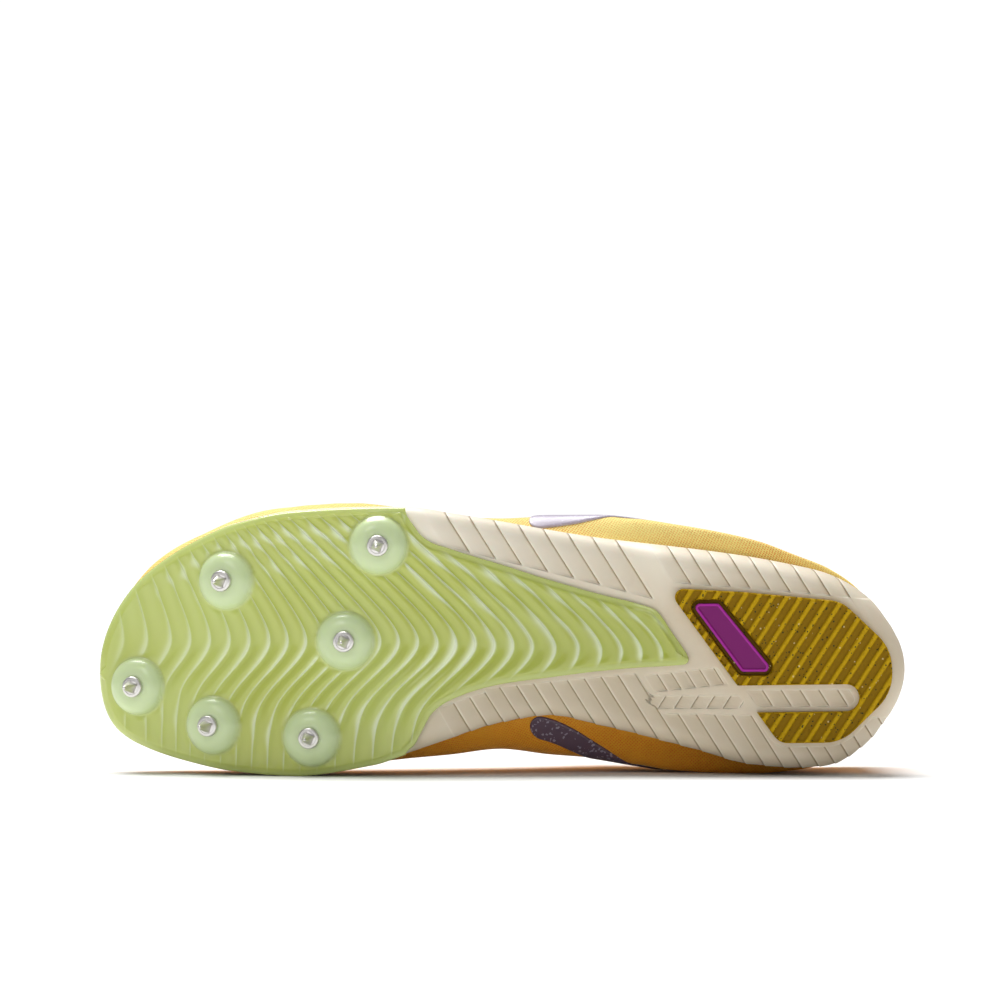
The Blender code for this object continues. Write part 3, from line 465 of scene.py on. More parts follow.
def inset_point(turn, inset, edge=sole_edge, length_share=1.0):
    """Point of an outline moved inwards, square to the outline."""
    step = 0.01 if edge is sole_edge else 0.035
    ahead, behind = (outline_point(turn + way, edge, length_share) for way in (step, -step))
    along = unit(ahead - behind)
    inward = stack(-along[..., 1], along[..., 0], 0.0)
    return outline_point(turn, edge, length_share) + inward * np.asarray(inset)[..., None]


def underside(x):
    """Height of the foam's underside."""
    at = x / SHOE_LENGTH
    heel = value(UNDERSIDE, "heel", at)
    return (value(UNDERSIDE, "spring", at) * TOE_SPRING + value(UNDERSIDE, "arch", at) * ARCH_RISE
            + (1.0 - heel) * (PLATE + GAP) + heel * (TREAD + GAP))


def footbed(x):
    """Height of the footbed, flat under the heel."""
    at = x / SHOE_LENGTH
    return value(FOOTBED, "spring", at) * TOE_SPRING + value(FOOTBED, "seat", at) * HEEL_SEAT


def wrap(x):
    """One where the plate wraps the edge of the forefoot, nought behind it."""
    return smooth(0.0, 0.06, TAIL_EDGE[0].at - x / SHOE_LENGTH)


def ring_point(rows, turn):
    """Point of one of the upper's rings."""
    first, last = rows[0].at, rows[-1].at
    at = first + share_of(turn) * (last - first)
    x = at * SHOE_LENGTH
    return stack(x, across(rows, turn, at), footbed(x) + value(rows, "rise", at) * INSTEP_HEIGHT)


def upper_point(turn, level):
    """Outer face of the upper: level 0 is its foot, 1 the cup rim, 2 the widest line,
    3 the shoulder and 4 the ridge."""
    turn, level = np.broadcast_arrays(np.asarray(turn, float), np.asarray(level, float))
    foot = inset_point(turn, CUP_RIM + GAP)
    foot[..., 2] = footbed(foot[..., 0]) + GAP
    rim = foot + (0.0, 0.0, CUP_HEIGHT)
    bulge, shoulder, ridge = (ring_point(rows, turn) for rows in (BULGE, SHOULDER, RIDGE))
    climb = ridge - shoulder
    along_ridge = climb[..., 0] ** 2 / np.maximum(climb[..., 0] ** 2 + climb[..., 1] ** 2, 1e-12)
    beyond = ridge + climb
    beyond[..., 2] = shoulder[..., 2] + 2.0 * climb[..., 2] * along_ridge
    knots = np.stack([foot, rim, bulge, shoulder, ridge, beyond])
    k = np.clip(level.astype(int), 1, 3)
    t = (level - k)[..., None]

    def knot(i):
        return np.take_along_axis(knots, i[None, ..., None], 0)[0]

    before, start, end, after = knot(k - 1), knot(k), knot(k + 1), knot(k + 2)
    before = np.where((k == 1)[..., None], start - (0.0, 0.0, 2.0 * CUP_HEIGHT), before)
    chord = np.linalg.norm(end - start, axis=-1, keepdims=True)
    lead = unit(end - before) * chord
    trail = unit(after - start) * chord
    curved = (start * (2 * t ** 3 - 3 * t ** 2 + 1) + lead * (t ** 3 - 2 * t ** 2 + t)
              + end * (3 * t ** 2 - 2 * t ** 3) + trail * (t ** 3 - t ** 2))
    straight = foot + (rim - foot) * level[..., None]
    return np.where((level <= 1.0)[..., None], straight, curved)


def upper_normal(turn, level):
    """Direction square to the upper's outer face."""
    step = 0.02
    turn, level = np.broadcast_arrays(np.asarray(turn, float), np.asarray(level, float))
    along = upper_point(turn + step, level) - upper_point(turn - step, level)
    above, below = np.minimum(level + step, RIDGE_LEVEL), np.maximum(level - step, 0.0)
    rise = upper_point(turn, above) - upper_point(turn, below)
    crest = upper_point(turn, RIDGE_LEVEL) - upper_point(turn, RIDGE_LEVEL - step)
    crest[..., 2] = 0.0
    rise = np.where((level > RIDGE_LEVEL - step)[..., None], crest, rise)
    rise = np.where((level <= CUP_LEVEL)[..., None], (0.0, 0.0, 1.0), rise)
    return unit(np.cross(along, rise))


def upper_lift(turn, level, lift):
    """Point at a height above the upper's outer face, or below it when negative."""
    return upper_point(turn, level) + upper_normal(turn, level) * np.asarray(lift)[..., None]


def ridge_turn(at):
    """Turn on the lateral side where the ridge stands at a share of the length."""
    first, last = RIDGE[0].at, RIDGE[-1].at
    return math.acos(1.0 - 2.0 * (at - first) / (last - first))


def wall_depth(turn, level):
    """Thickness of the upper, padded around the collar and the heel."""
    first, last = RIDGE[0].at, RIDGE[-1].at
    at = first + share_of(turn) * (last - first)
    along = np.clip((at - PADDING_SPAN[0]) / (PADDING_SPAN[1] - PADDING_SPAN[0]), 0.0, 1.0)
    up = np.clip((level - 2.0) * 1.5, 0.0, 1.0)
    return WALL + COLLAR_PADDING * along * up


def run_along(path):
    """Distance gone at each point of a path."""
    return np.concatenate(([0.0], np.cumsum(np.linalg.norm(np.diff(path, axis=0), axis=1))))


def even(path, count):
    """Positions 0 to 1 that cut a path of points into even steps."""
    steps = run_along(path)
    return np.interp(np.linspace(0.0, steps[-1], count + 1), steps, np.linspace(0.0, 1.0, len(path)))


# Making pieces

def laid_down():
    """Matrix from the shoe's own frame to where it lies."""
    up = -FLOORWARDS.normalized()
    heelwards = Vector((1.0, 0.0, 0.0))
    heelwards = (heelwards - up * heelwards.dot(up)).normalized()
    turn = Matrix((heelwards, up.cross(heelwards), up)).to_4x4()
    return Matrix.Translation(LIES_AT) @ turn


LAID = laid_down()


def keep(name, bm, finish, nodes=()):
    """Finished piece: laid down, shaded smooth, riding on the shoe."""
    bmesh.ops.transform(bm, matrix=LAID, verts=bm.verts)
    mesh = bpy.data.meshes.new(name)
    bm.to_mesh(mesh)
    bm.free()
    piece = bpy.data.objects.new(name, mesh)
    bpy.context.collection.objects.link(piece)
    for made in finish if isinstance(finish, list) else [finish]:
        mesh.materials.append(made)
    mesh.shade_smooth()
    if nodes:
        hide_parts(*nodes)
    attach(piece, "root")
    return piece


def formed(points, marks=None, cloth=None, drop=None):
    """Sheet of quads set on an array of points, its seams and poles closed.

    marks are named numbers for each point, cloth is each point's place on the flat
    fabric, and drop says which quads of the sheet are left out.
    """
    rows, columns = points.shape[:2]
    bm = bmesh.new()
    bmesh.ops.create_grid(bm, x_segments=rows - 1, y_segments=columns - 1, size=1.0)
    place = {}
    layers = {name: bm.verts.layers.float.new(name) for name in marks or {}}
    for vert in bm.verts:
        i = round((vert.co.x + 1.0) / 2.0 * (rows - 1))
        j = round((vert.co.y + 1.0) / 2.0 * (columns - 1))
        place[vert] = (i, j)
        vert.co = points[i, j]
        for name, layer in layers.items():
            vert[layer] = marks[name][i, j]
    if cloth is not None:
        flat = bm.loops.layers.uv.new("cloth")
        for face in bm.faces:
            for loop in face.loops:
                loop[flat].uv = cloth[place[loop.vert]]
    if drop is not None:
        gone = [face for face in bm.faces
                if drop[min(place[v][0] for v in face.verts), min(place[v][1] for v in face.verts)]]
        bmesh.ops.delete(bm, geom=gone, context="FACES")
    bmesh.ops.remove_doubles(bm, verts=bm.verts, dist=0.000002)
    bmesh.ops.dissolve_degenerate(bm, edges=bm.edges, dist=0.000001)
    bmesh.ops.recalc_face_normals(bm, faces=bm.faces)
    return bm


def capped(bm):
    """The same sheet with its open ends closed."""
    bmesh.ops.holes_fill(bm, edges=[edge for edge in bm.edges if len(edge.link_faces) == 1])
    bmesh.ops.recalc_face_normals(bm, faces=bm.faces)
    return bm


# Upper

UPPER_STATIONS = 270
UPPER_ROWS = 66
RIM_ROWS = 7
LINING_ROWS = 24

# Where the stations meet over the toes, and how often the surface is smoothed there
CROWN_SPAN = (0.008, 0.042)
CROWN_HALF_WIDTH = 0.004
CROWN_PASSES = 14


def half_turns(count):
    """Turns on the lateral side, evenly spaced along the widest line of the upper."""
    fine = np.linspace(0.0, math.pi, 2000)
    return even(ring_point(BULGE, fine), count) * math.pi


def throat_half(x):
    """Half width of the throat opening at a distance from the toe."""
    front = THROAT_FRONT * SHOE_LENGTH
    back = COLLAR_LINE[1].at * SHOE_LENGTH
    return THROAT_HALF_WIDTH + THROAT_SPREAD * (x - front) / (back - front)


def cut_away(points):
    """How far points lie inside the throat or above the collar; negative on the upper."""
    x, y, z = points[..., 0], points[..., 1], points[..., 2]
    front = THROAT_FRONT * SHOE_LENGTH
    middle = value(RIDGE, "lateral", x / SHOE_LENGTH) * BALL_WIDTH
    nose_middle = value(RIDGE, "lateral", THROAT_FRONT) * BALL_WIDTH
    nose = THROAT_HALF_WIDTH - np.hypot(x - front, y - nose_middle)
    back = (COLLAR_LINE[3].at + 0.02) * SHOE_LENGTH
    throat = np.where(x < front, nose, np.minimum(throat_half(x) - np.abs(y - middle), back - x))
    collar = z - value(COLLAR_LINE, "height", x / SHOE_LENGTH) * COLLAR_HEIGHT
    return np.maximum(throat, collar)


def top_levels(turn, margin):
    """Level at which each station of the upper ends."""
    levels = np.linspace(1.6, RIDGE_LEVEL, 160)
    inside = cut_away(upper_point(turn[:, None], levels[None, :])) + margin
    tops = np.full(len(turn), RIDGE_LEVEL)
    for i, line in enumerate(inside):
        out = np.nonzero(line > 0.0)[0]
        if len(out) and out[0] > 0:
            k = out[0]
            part = line[k - 1] / (line[k - 1] - line[k])
            tops[i] = levels[k - 1] + (levels[k] - levels[k - 1]) * part
    return tops


# Soft folds: share of the length, depth, width, and the side they are on, 0 for the vamp
Fold = namedtuple("Fold", "at depth width side")
FOLDS = [
    Fold(0.262, 0.00035, 0.0030, 0),
    Fold(0.296, 0.00050, 0.0034, 0),
    Fold(0.330, 0.00040, 0.0030, 0),
    Fold(0.640, 0.00050, 0.0050, -1),
    Fold(0.665, 0.00045, 0.0045, 1),
]
FOLD_LEAN = 0.10

# Tape around the throat and the collar, with a row of stitches near both of its edges
TAPE_WIDTH = 0.0105
TAPE_HEIGHT = 0.00035
STITCH_DEPTH = 0.00022
STITCH_ROWS = ((0.0095, 0.0006), (0.0022, 0.0005))


def upper_relief(levels, points):
    """Height of the folds, the tape and its stitches, and where the tape lies."""
    x, y = points[..., 0], points[..., 1]
    lift = np.zeros(levels.shape)
    high = smooth(1.7, 2.6, levels)
    for fold in FOLDS:
        centre = fold.at * SHOE_LENGTH + FOLD_LEAN * (y - 0.004) * (fold.side or 1)
        away = (x - centre) / fold.width
        reach = high if fold.side == 0 else high * smooth(0.0, 0.01, y * fold.side)
        lift += reach * fold.depth * (np.exp(-(away - 1.4) ** 2) * 0.7 - np.exp(-away ** 2)
                                      + np.exp(-(away + 1.4) ** 2) * 0.7)
    edge = -cut_away(points)
    tape = 1.0 - smooth(TAPE_WIDTH, TAPE_WIDTH + 0.0007, edge)
    stitch = sum(np.exp(-((edge - away) / width) ** 2) for away, width in STITCH_ROWS)
    return lift + TAPE_HEIGHT * tape - STITCH_DEPTH * stitch, tape


def eyelet_distance(points):
    """Distance of points from the nearest eyelet, up to a few millimetres."""
    nearest = np.full(points.shape[:2], 0.006)
    turns = lace_turns()
    for turn, level in zip(turns, eyelet_levels(turns)):
        for spot in (turn, math.tau - turn):
            centre = upper_point(spot, level)
            nearest = np.minimum(nearest, np.linalg.norm(points - centre, axis=-1))
    return nearest


def make_upper(finish):
    """Knitted shell with its padded collar, throat and lining."""
    half = half_turns(UPPER_STATIONS)
    turn = np.concatenate((half, math.tau - half[-2::-1]))
    roll = wall_depth(turn, 3.4) / 2.0
    tops = top_levels(turn, 0.0)
    closed = tops >= RIDGE_LEVEL
    tops = np.where(closed, RIDGE_LEVEL, top_levels(turn, np.where(closed, 0.0, roll * 0.8)[:, None]))
    rows = []
    for i, spot in enumerate(turn):
        line = upper_point(spot, np.linspace(CUP_LEVEL, tops[i], 60))
        rows.append(CUP_LEVEL + even(line, UPPER_ROWS) * (tops[i] - CUP_LEVEL))
    levels = np.pad(np.array(rows), ((0, 0), (1, 0)))
    spots = np.broadcast_to(turn[:, None], levels.shape)
    normals = upper_normal(spots, levels)
    bare = upper_point(spots, levels)
    lift, tape = upper_relief(levels, bare)
    outer = bare + normals * (lift * (levels > 1.2))[..., None]

    picks = np.linspace(levels.shape[1] - 1, 0, LINING_ROWS).round().astype(int)
    inner = (bare - normals * wall_depth(spots, levels)[..., None])[:, picks]

    start, end = outer[:, -1], inner[:, 0]
    upward = unit(upper_point(turn, tops) - upper_point(turn, tops - 0.03))
    bulge = np.where(closed, 0.0, np.linalg.norm(start - end, axis=-1) / 2.0)
    swing = np.linspace(0.0, math.pi, RIM_ROWS + 2)[1:-1]
    middle, arm = (start + end) / 2.0, (start - end) / 2.0
    rim = np.stack([middle + arm * math.cos(a) + upward * (bulge * math.sin(a))[:, None] for a in swing], 1)
    points = np.concatenate((outer, rim, inner, outer[:, :1]), 1)

    along = run_along(ring_point(BULGE, turn))
    steps = np.linalg.norm(np.diff(points, axis=1), axis=2)
    rise = np.pad(np.cumsum(steps, axis=1), ((0, 0), (1, 0)))
    cloth = np.stack(np.broadcast_arrays(along[:, None], rise), -1)
    first_rim = outer.shape[1] - 1
    drop = np.zeros((points.shape[0] - 1, points.shape[1] - 1), bool)
    sealed = closed[:-1] & closed[1:]
    drop[sealed, first_rim:first_rim + RIM_ROWS + 1] = True
    pad = points.shape[1] - outer.shape[1]
    inside = np.concatenate((np.zeros(outer.shape[1]), np.linspace(0, 1, RIM_ROWS), np.ones(pad - RIM_ROWS)))
    marks = {"eyelet": eyelet_distance(points) * 1000.0, "inside": np.tile(inside, (len(turn), 1)),
             "tape": np.pad(tape, ((0, 0), (0, pad)), mode="edge")}
    bm = formed(points, marks, cloth, drop)
    middle = RIDGE[0].lateral * BALL_WIDTH
    crown = [vert for vert in bm.verts
             if CROWN_SPAN[0] < vert.co.x < CROWN_SPAN[1] and abs(vert.co.y - middle) < CROWN_HALF_WIDTH]
    for _ in range(CROWN_PASSES):
        bmesh.ops.smooth_vert(bm, verts=crown, factor=0.5, use_axis_x=True, use_axis_y=True, use_axis_z=True)
    return keep("knit_upper", bm, finish, ["upper"])


# Tongue, insole and lace

def make_tongue(finish):
    """Padded strip under the throat, thin at its edges, with a round top."""
    first, last = (ridge_turn(at) for at in TONGUE_SPAN)
    turn = np.linspace(first, last, TONGUE_STATIONS)
    side = np.linspace(-1.0, 1.0, 61)
    along = np.linspace(0.0, 1.0, TONGUE_STATIONS)[:, None]
    narrow = np.sqrt(np.clip(1.0 - smooth(0.90, 1.0, along) * 0.55, 0.0, 1.0))
    level = RIDGE_LEVEL - np.abs(side)[None, :] * narrow
    spots = np.where(side[None, :] <= 0.0, turn[:, None], math.tau - turn[:, None])
    ends = np.sqrt(np.clip(1.0 - (2.0 * along - 1.0) ** 24, 0.0, 1.0))
    sides = np.sqrt(np.clip(1.0 - np.abs(side)[None, :] ** 8, 0.0, 1.0))
    swell = np.cos(along * math.tau * TONGUE_QUILTS) * 0.5 + 0.5
    quilt = 1.0 - 0.10 * swell * (1.0 - np.abs(side)[None, :] ** 2)
    thick = TONGUE * (0.16 + 0.84 * ends * sides) * quilt
    skin = WALL + TONGUE_GAP + TONGUE * 0.42 * (1.0 - ends * sides)
    top = upper_lift(spots, level, -skin)
    low = upper_lift(spots, level, -(skin + thick))
    points = np.concatenate((top, low[:, ::-1], top[:, :1]), 1)
    tongue = keep("tongue_pad", capped(formed(points)), finish, ["tongue"])
    return tongue


def slab(profile, stations, steps_across, edge=sole_edge, length_share=1.0, least_width=0.0):
    """Points of a closed slab: its profile on the lateral side, across, and back."""
    fine = np.linspace(0.0, math.pi, 3000)
    half = even(outline_point(fine, edge, length_share), stations) * math.pi
    columns = []
    width = np.linalg.norm(outline_point(half, edge, length_share)
                           - outline_point(math.tau - half, edge, length_share), axis=-1)
    half, width = half[width >= least_width], width[width >= least_width]
    for spot in (half, math.tau - half):
        rings = [place(spot, np.minimum(inset, width * 0.46)) for inset, place in profile]
        columns.append(np.stack(rings, 1))
    lateral, medial = columns
    part = np.linspace(0.0, 1.0, steps_across + 1)[1:-1]
    face = lateral[:, :1] + (medial[:, :1] - lateral[:, :1]) * part[None, :, None]
    back = medial[:, -1:] + (lateral[:, -1:] - medial[:, -1:]) * part[None, ::6, None]
    return np.concatenate((lateral[:, ::-1], face, medial, back, lateral[:, -1:]), 1)


def at_height(height, edge=sole_edge, length_share=1.0):
    """Places ring points at a height given by their distance from the toe."""
    def place(turn, inset):
        point = inset_point(turn, inset, edge, length_share)
        point[..., 2] = height(point[..., 0])
        return point
    return place


def make_insole(finish):
    """Thin sheet on the footbed, with a soft upper edge."""
    base = CUP_RIM + GAP + WALL + INSOLE_FIT
    hem = 0.004
    heights = [(hem, GAP), (0.0004, GAP), (0.0, GAP + INSOLE * 0.2), (0.0, GAP + INSOLE * 0.7),
               (INSOLE * 0.15, GAP + INSOLE * 0.92), (INSOLE * 0.4, GAP + INSOLE), (hem, GAP + INSOLE)]
    profile = [(base + inset, at_height(lambda x, rise=rise: footbed(x) + rise)) for inset, rise in heights]
    points = slab(profile, 160, 24, least_width=2.4 * (base + hem))
    return keep("insole_sheet", capped(formed(points)), finish, ["insole"])


def eyelet_levels(turn):
    """Level at which the eyelets of each station sit beside the throat."""
    levels = np.arange(RIDGE_LEVEL, 3.0, -0.02)
    found = []
    for spot in turn:
        points = upper_point(spot, levels)
        clear = points[0, 1] - points[:, 1] >= throat_half(points[:, 0]) + EYELET_MARGIN
        found.append(levels[np.argmax(clear)])
    return found


def lace_turns():
    """Turn of each lace bar along the throat."""
    first, last = LACE_SPAN
    return [ridge_turn(first + (last - first) * k / (LACE_BARS - 1)) for k in range(LACE_BARS)]


def make_lace(number, turn, level, finish):
    """Flat lace across the throat, diving through the eyelet at each end."""
    part = np.linspace(-1.0, 1.0, 53)
    levels = level + (RIDGE_LEVEL - level) * (1.0 - np.abs(part))
    spots = np.where(part <= 0.0, turn, math.tau - turn)
    centre, normal = upper_point(spots, levels), upper_normal(spots, levels)
    ahead, behind = (upper_point(turn + step, RIDGE_LEVEL) for step in (0.03, -0.03))
    ridge_way = unit(ahead - behind)
    into = smooth(0.90, 1.0, np.abs(part))
    lift = (GAP + 0.0003) * (1.0 - into) - (WALL + 0.0002) * into
    width = LACE_WIDTH * (1.0 - 0.52 * into)
    around = np.linspace(0.0, math.tau, 21)
    flat = np.sign(np.cos(around)) * np.abs(np.cos(around)) ** 0.35
    tall = np.sign(np.sin(around)) * np.abs(np.sin(around)) ** 0.8
    crown = 0.5 + 0.5 * tall
    points = (centre[:, None] + ridge_way * (flat[None, :] * width[:, None] / 2.0)[..., None]
              + normal[:, None] * (lift[:, None] + LACE_THICKNESS * crown[None, :])[..., None])
    return keep(f"lace_{number}", capped(formed(points)), finish, [f"lace_bar_{number}"])


# Foam midsole with its slanted ribs

RIB_LEAN = 1.0 / math.tan(FOAM_SLANT)


def line_start(x, y):
    """Where the slanted line through a point meets the long axis.

    The lines are square to the axis at the toe and follow the ribs' slant from the waist on.
    """
    start = x.copy()
    for _ in range(60):
        lean = RIB_LEAN * smooth(0.12 * SHOE_LENGTH, 0.44 * SHOE_LENGTH, start)
        start = 0.5 * start + 0.5 * (x - lean * y)
    return start


def row_start(row):
    """Where the first rib's line of a row meets the long axis; long rows share their lines."""
    start = row.first * SHOE_LENGTH - row.start * BALL_WIDTH * RIB_LEAN * row.slant
    return start - math.fmod(start, RIB_STEP) if row.pitch == RIB_STEP else start


def foam_lines():
    """Slanted lines across the whole sole, with two at the step of each long rib."""
    turn = np.linspace(0.0, math.tau, 6001)
    plan = outline_point(turn)
    start = line_start(plan[:, 0], plan[:, 1])
    low, high = start.min(), start.max()
    stops = [row_start(row) + step * row.pitch - back for row in RIB_ROWS if row.width == 1.0
             for step in range(-8, 60) for back in (0.0003, 0.0)]
    grown = (1.0 - np.cos(np.linspace(0.0, math.pi, 280))) / 2.0
    base = low + (high - low) * (0.55 * grown + 0.45 * np.linspace(0.0, 1.0, 280))
    lines = np.array(sorted(set(base.tolist()) | {s for s in stops if 0.11 < s < high - 0.001}))
    return lines[np.concatenate(([True], np.diff(lines) > 0.00015))]


def line_turns(lines, inset):
    """Turns on both sides where the lines cross the outline moved inwards."""
    turn = np.linspace(0.0, math.tau, 6001)
    plan = inset_point(turn, inset(turn))
    start = line_start(plan[:, 0], plan[:, 1])
    last = int(np.argmax(start))
    rising = np.maximum.accumulate(start[:last + 1])
    falling = np.maximum.accumulate(start[last:][::-1])
    return np.interp(lines, rising, turn[:last + 1]), np.interp(lines, falling, turn[last:][::-1])


def rib_marks(x, y):
    """Count of ribs at points of the sole, how far inside their row they lie, and the slope's depth."""
    lines = line_start(x.ravel(), y.ravel()).reshape(x.shape)
    at = x / SHOE_LENGTH
    rubber = depth_inside(rounded(RUBBER), x, y)
    room = np.where(rubber > 0.0, np.minimum(channel_depth(x, y), rubber), -rubber) - RIB_MARGIN
    count, within = np.zeros(x.shape), np.full(x.shape, -1.0)
    for row in RIB_ROWS:
        inner = (row.start + (row.end - row.start) * (at - row.first) / (row.last - row.first)) * BALL_WIDTH
        beyond = (y - inner) * row.side
        beyond = np.minimum(np.minimum(beyond, row.width - beyond), room)
        run = lines if row.slant > 0 else x + RIB_LEAN * y
        last = row.last * SHOE_LENGTH - row.end * BALL_WIDTH * RIB_LEAN * row.slant
        beyond = np.minimum(beyond, np.minimum(run - row_start(row), last - run))
        here = beyond > within
        own = (run if row.pitch == RIB_STEP else run - row_start(row)) / row.pitch * row.slant
        count = np.where(here, own + 40.0, count)
        within = np.where(here, beyond, within)
    phase = np.mod(count, 1.0)
    slope = np.where(phase < 0.955, phase / 0.955, (1.0 - phase) / 0.045)
    return count, np.maximum(within, -0.002), slope * smooth(0.0, 0.0008, within)


# Rim of the cup from the footbed outwards: shares of its width and of its height
CUP = [(1.0, 0.0), (1.0, 0.5), (1.0, 0.86), (0.85, 0.97), (0.65, 1.0), (0.35, 0.985), (0.12, 0.93)]

# How far the foam's side draws in below, and from which share of its height
FOAM_ROUNDING = 0.0062
FOAM_ROUND_FROM = 0.30


def make_midsole(finish):
    """Foam from toe to heel: cup, ribbed side and ribbed underside."""
    lines = foam_lines()

    def tuck(turn):
        return wrap(outline_point(turn)[..., 0]) * (PLATE_RIM + GAP)

    low_steps = [0.24, 0.19, 0.145, 0.11, 0.08, 0.05, 0.025, 0.008, 0.0]
    heights = np.concatenate((np.linspace(0.86, FOAM_ROUND_FROM, 9), low_steps))
    sides, ends = [], []
    for side, turn in enumerate(line_turns(lines, lambda spot: 0.0)):
        rings = []
        for share, rise in CUP:
            point = inset_point(turn, np.maximum(CUP_RIM * share, tuck(turn)))
            point[:, 2] = footbed(point[:, 0]) + CUP_HEIGHT * rise
            rings.append(point)
        for rise in heights:
            curve = np.clip((FOAM_ROUND_FROM - rise) / FOAM_ROUND_FROM, 0.0, 1.0)
            rounding = FOAM_ROUNDING * (1.0 - np.sqrt(np.clip(1.0 - curve ** 2.2, 0.0, 1.0)))
            share = smooth(0.9, 0.62, rise) if rise > 0.62 else 1.0

            def inset(spot):
                return (tuck(spot) + rounding) * share

            turn = line_turns(lines, inset)[side]
            point = inset_point(turn, inset(turn))
            top = footbed(point[:, 0]) + CUP_HEIGHT
            low = underside(point[:, 0])
            point[:, 2] = low + (top - low) * rise
            depth = rib_marks(point[:, 0], point[:, 1])[2] * smooth(0.85, 0.55, rise) * (0.35 + 0.65 * curve)
            face = (inset_point(turn, 1.0) - outline_point(turn)) * math.cos(curve * math.pi / 2)
            face[:, 2] += math.sin(curve * math.pi / 2)
            rings.append(point + face * (FOAM_RIB * depth)[:, None])
        sides.append(np.stack(rings, 1))
        ends.append(inset_point(turn, inset(turn))[:, None])
    lateral, medial = sides
    part = np.linspace(0.0, 1.0, 88)[1:-1]
    face = ends[0] + (ends[1] - ends[0]) * part[None, :, None]
    face[..., 2] = underside(face[..., 0]) + FOAM_RIB * rib_marks(face[..., 0], face[..., 1])[2]
    part = np.linspace(0.0, 1.0, 12)[1:-1]
    bed = medial[:, :1] + (lateral[:, :1] - medial[:, :1]) * part[None, :, None]
    bed[..., 2] = footbed(bed[..., 0])
    points = np.concatenate((lateral, face, medial[:, ::-1], bed, lateral[:, :1]), 1)
    count, within, _ = rib_marks(points[..., 0], points[..., 1])
    order = np.arange(points.shape[1])
    shown = (order > len(CUP)) & (order < points.shape[1] - bed.shape[1] - 2 - len(CUP))
    marks = {"rib": count, "within": np.where(shown[None, :], within * 1000.0, -2.0)}
    return keep("foam_midsole", formed(points, marks), finish, ["midsole"])


# Spike plate

def boss_frame(boss):
    """Frame on the plate's lower face, its z pointing out of the sole."""
    x = boss.at * SHOE_LENGTH
    step = 0.004
    slope = float(underside(x + step) - underside(x - step)) / (2 * step)
    out = Vector((slope, 0.0, -1.0)).normalized()
    side = Vector((0.0, 1.0, 0.0))
    placed = Matrix((side.cross(out), side, out)).transposed().to_4x4()
    placed.translation = Vector((x, boss.across * BALL_WIDTH, float(underside(x)) - PLATE - GAP))
    return placed


def wave_field(x, y):
    """How far along the row of crests a point of the plate lies, and its sweep."""
    apex = WAVE_APEX[0] + WAVE_APEX[1] * smooth(0.35, 0.75, x / SHOE_LENGTH)
    off = y - apex * BALL_WIDTH
    bow = np.sqrt(off ** 2 + WAVE_BEND ** 2) - WAVE_BEND
    crest = x.copy()
    for _ in range(8):
        at = crest / SHOE_LENGTH
        back = value(WAVES, "lateral", at) * bow
        reach = value(WAVES, "reach", at) * SHOE_LENGTH
        sweep = value(WAVES, "medial", at) * bow
        forth = sweep / (1.0 + (sweep / reach) ** 4) ** 0.25
        crest = x + np.where(off < 0.0, back, forth)
    return np.interp(crest / SHOE_LENGTH, [row.at for row in WAVES], [row.crests for row in WAVES])


def highlight_swell(x, y, room, odd):
    """How broad the painted highlight of an even or an odd crest is: it swells near the lateral edge,
    further in, at its apex and near the medial edge."""
    at = x / SHOE_LENGTH
    near = 0.0085 - 0.0040 * smooth(0.33, 0.42, at) + (0.0010 if odd else -0.0010)
    inner = 0.0175 - 0.0030 * smooth(0.20, 0.28, at) + (0.0020 if odd else -0.0015)
    lateral = np.exp(-((room["lateral"] - near) / 0.0026) ** 2) * smooth(0.05, 0.12, at)
    further = np.exp(-((room["lateral"] - inner) / 0.0036) ** 2) * smooth(0.10, 0.18, at)
    further *= 0.85 if odd else 0.25
    medial = np.exp(-((room["medial"] - (0.0140 if odd else 0.0190)) / 0.0046) ** 2) * 0.45
    apex = np.exp(-((y - 0.005) / 0.0080) ** 2) * 0.42
    tail = 1.0 - 0.5 * smooth(0.42, 0.62, at)
    return np.clip(lateral + further + medial + apex, 0.0, 1.0) * tail


PLATE_STATIONS = 330
PLATE_STRIPS = 168


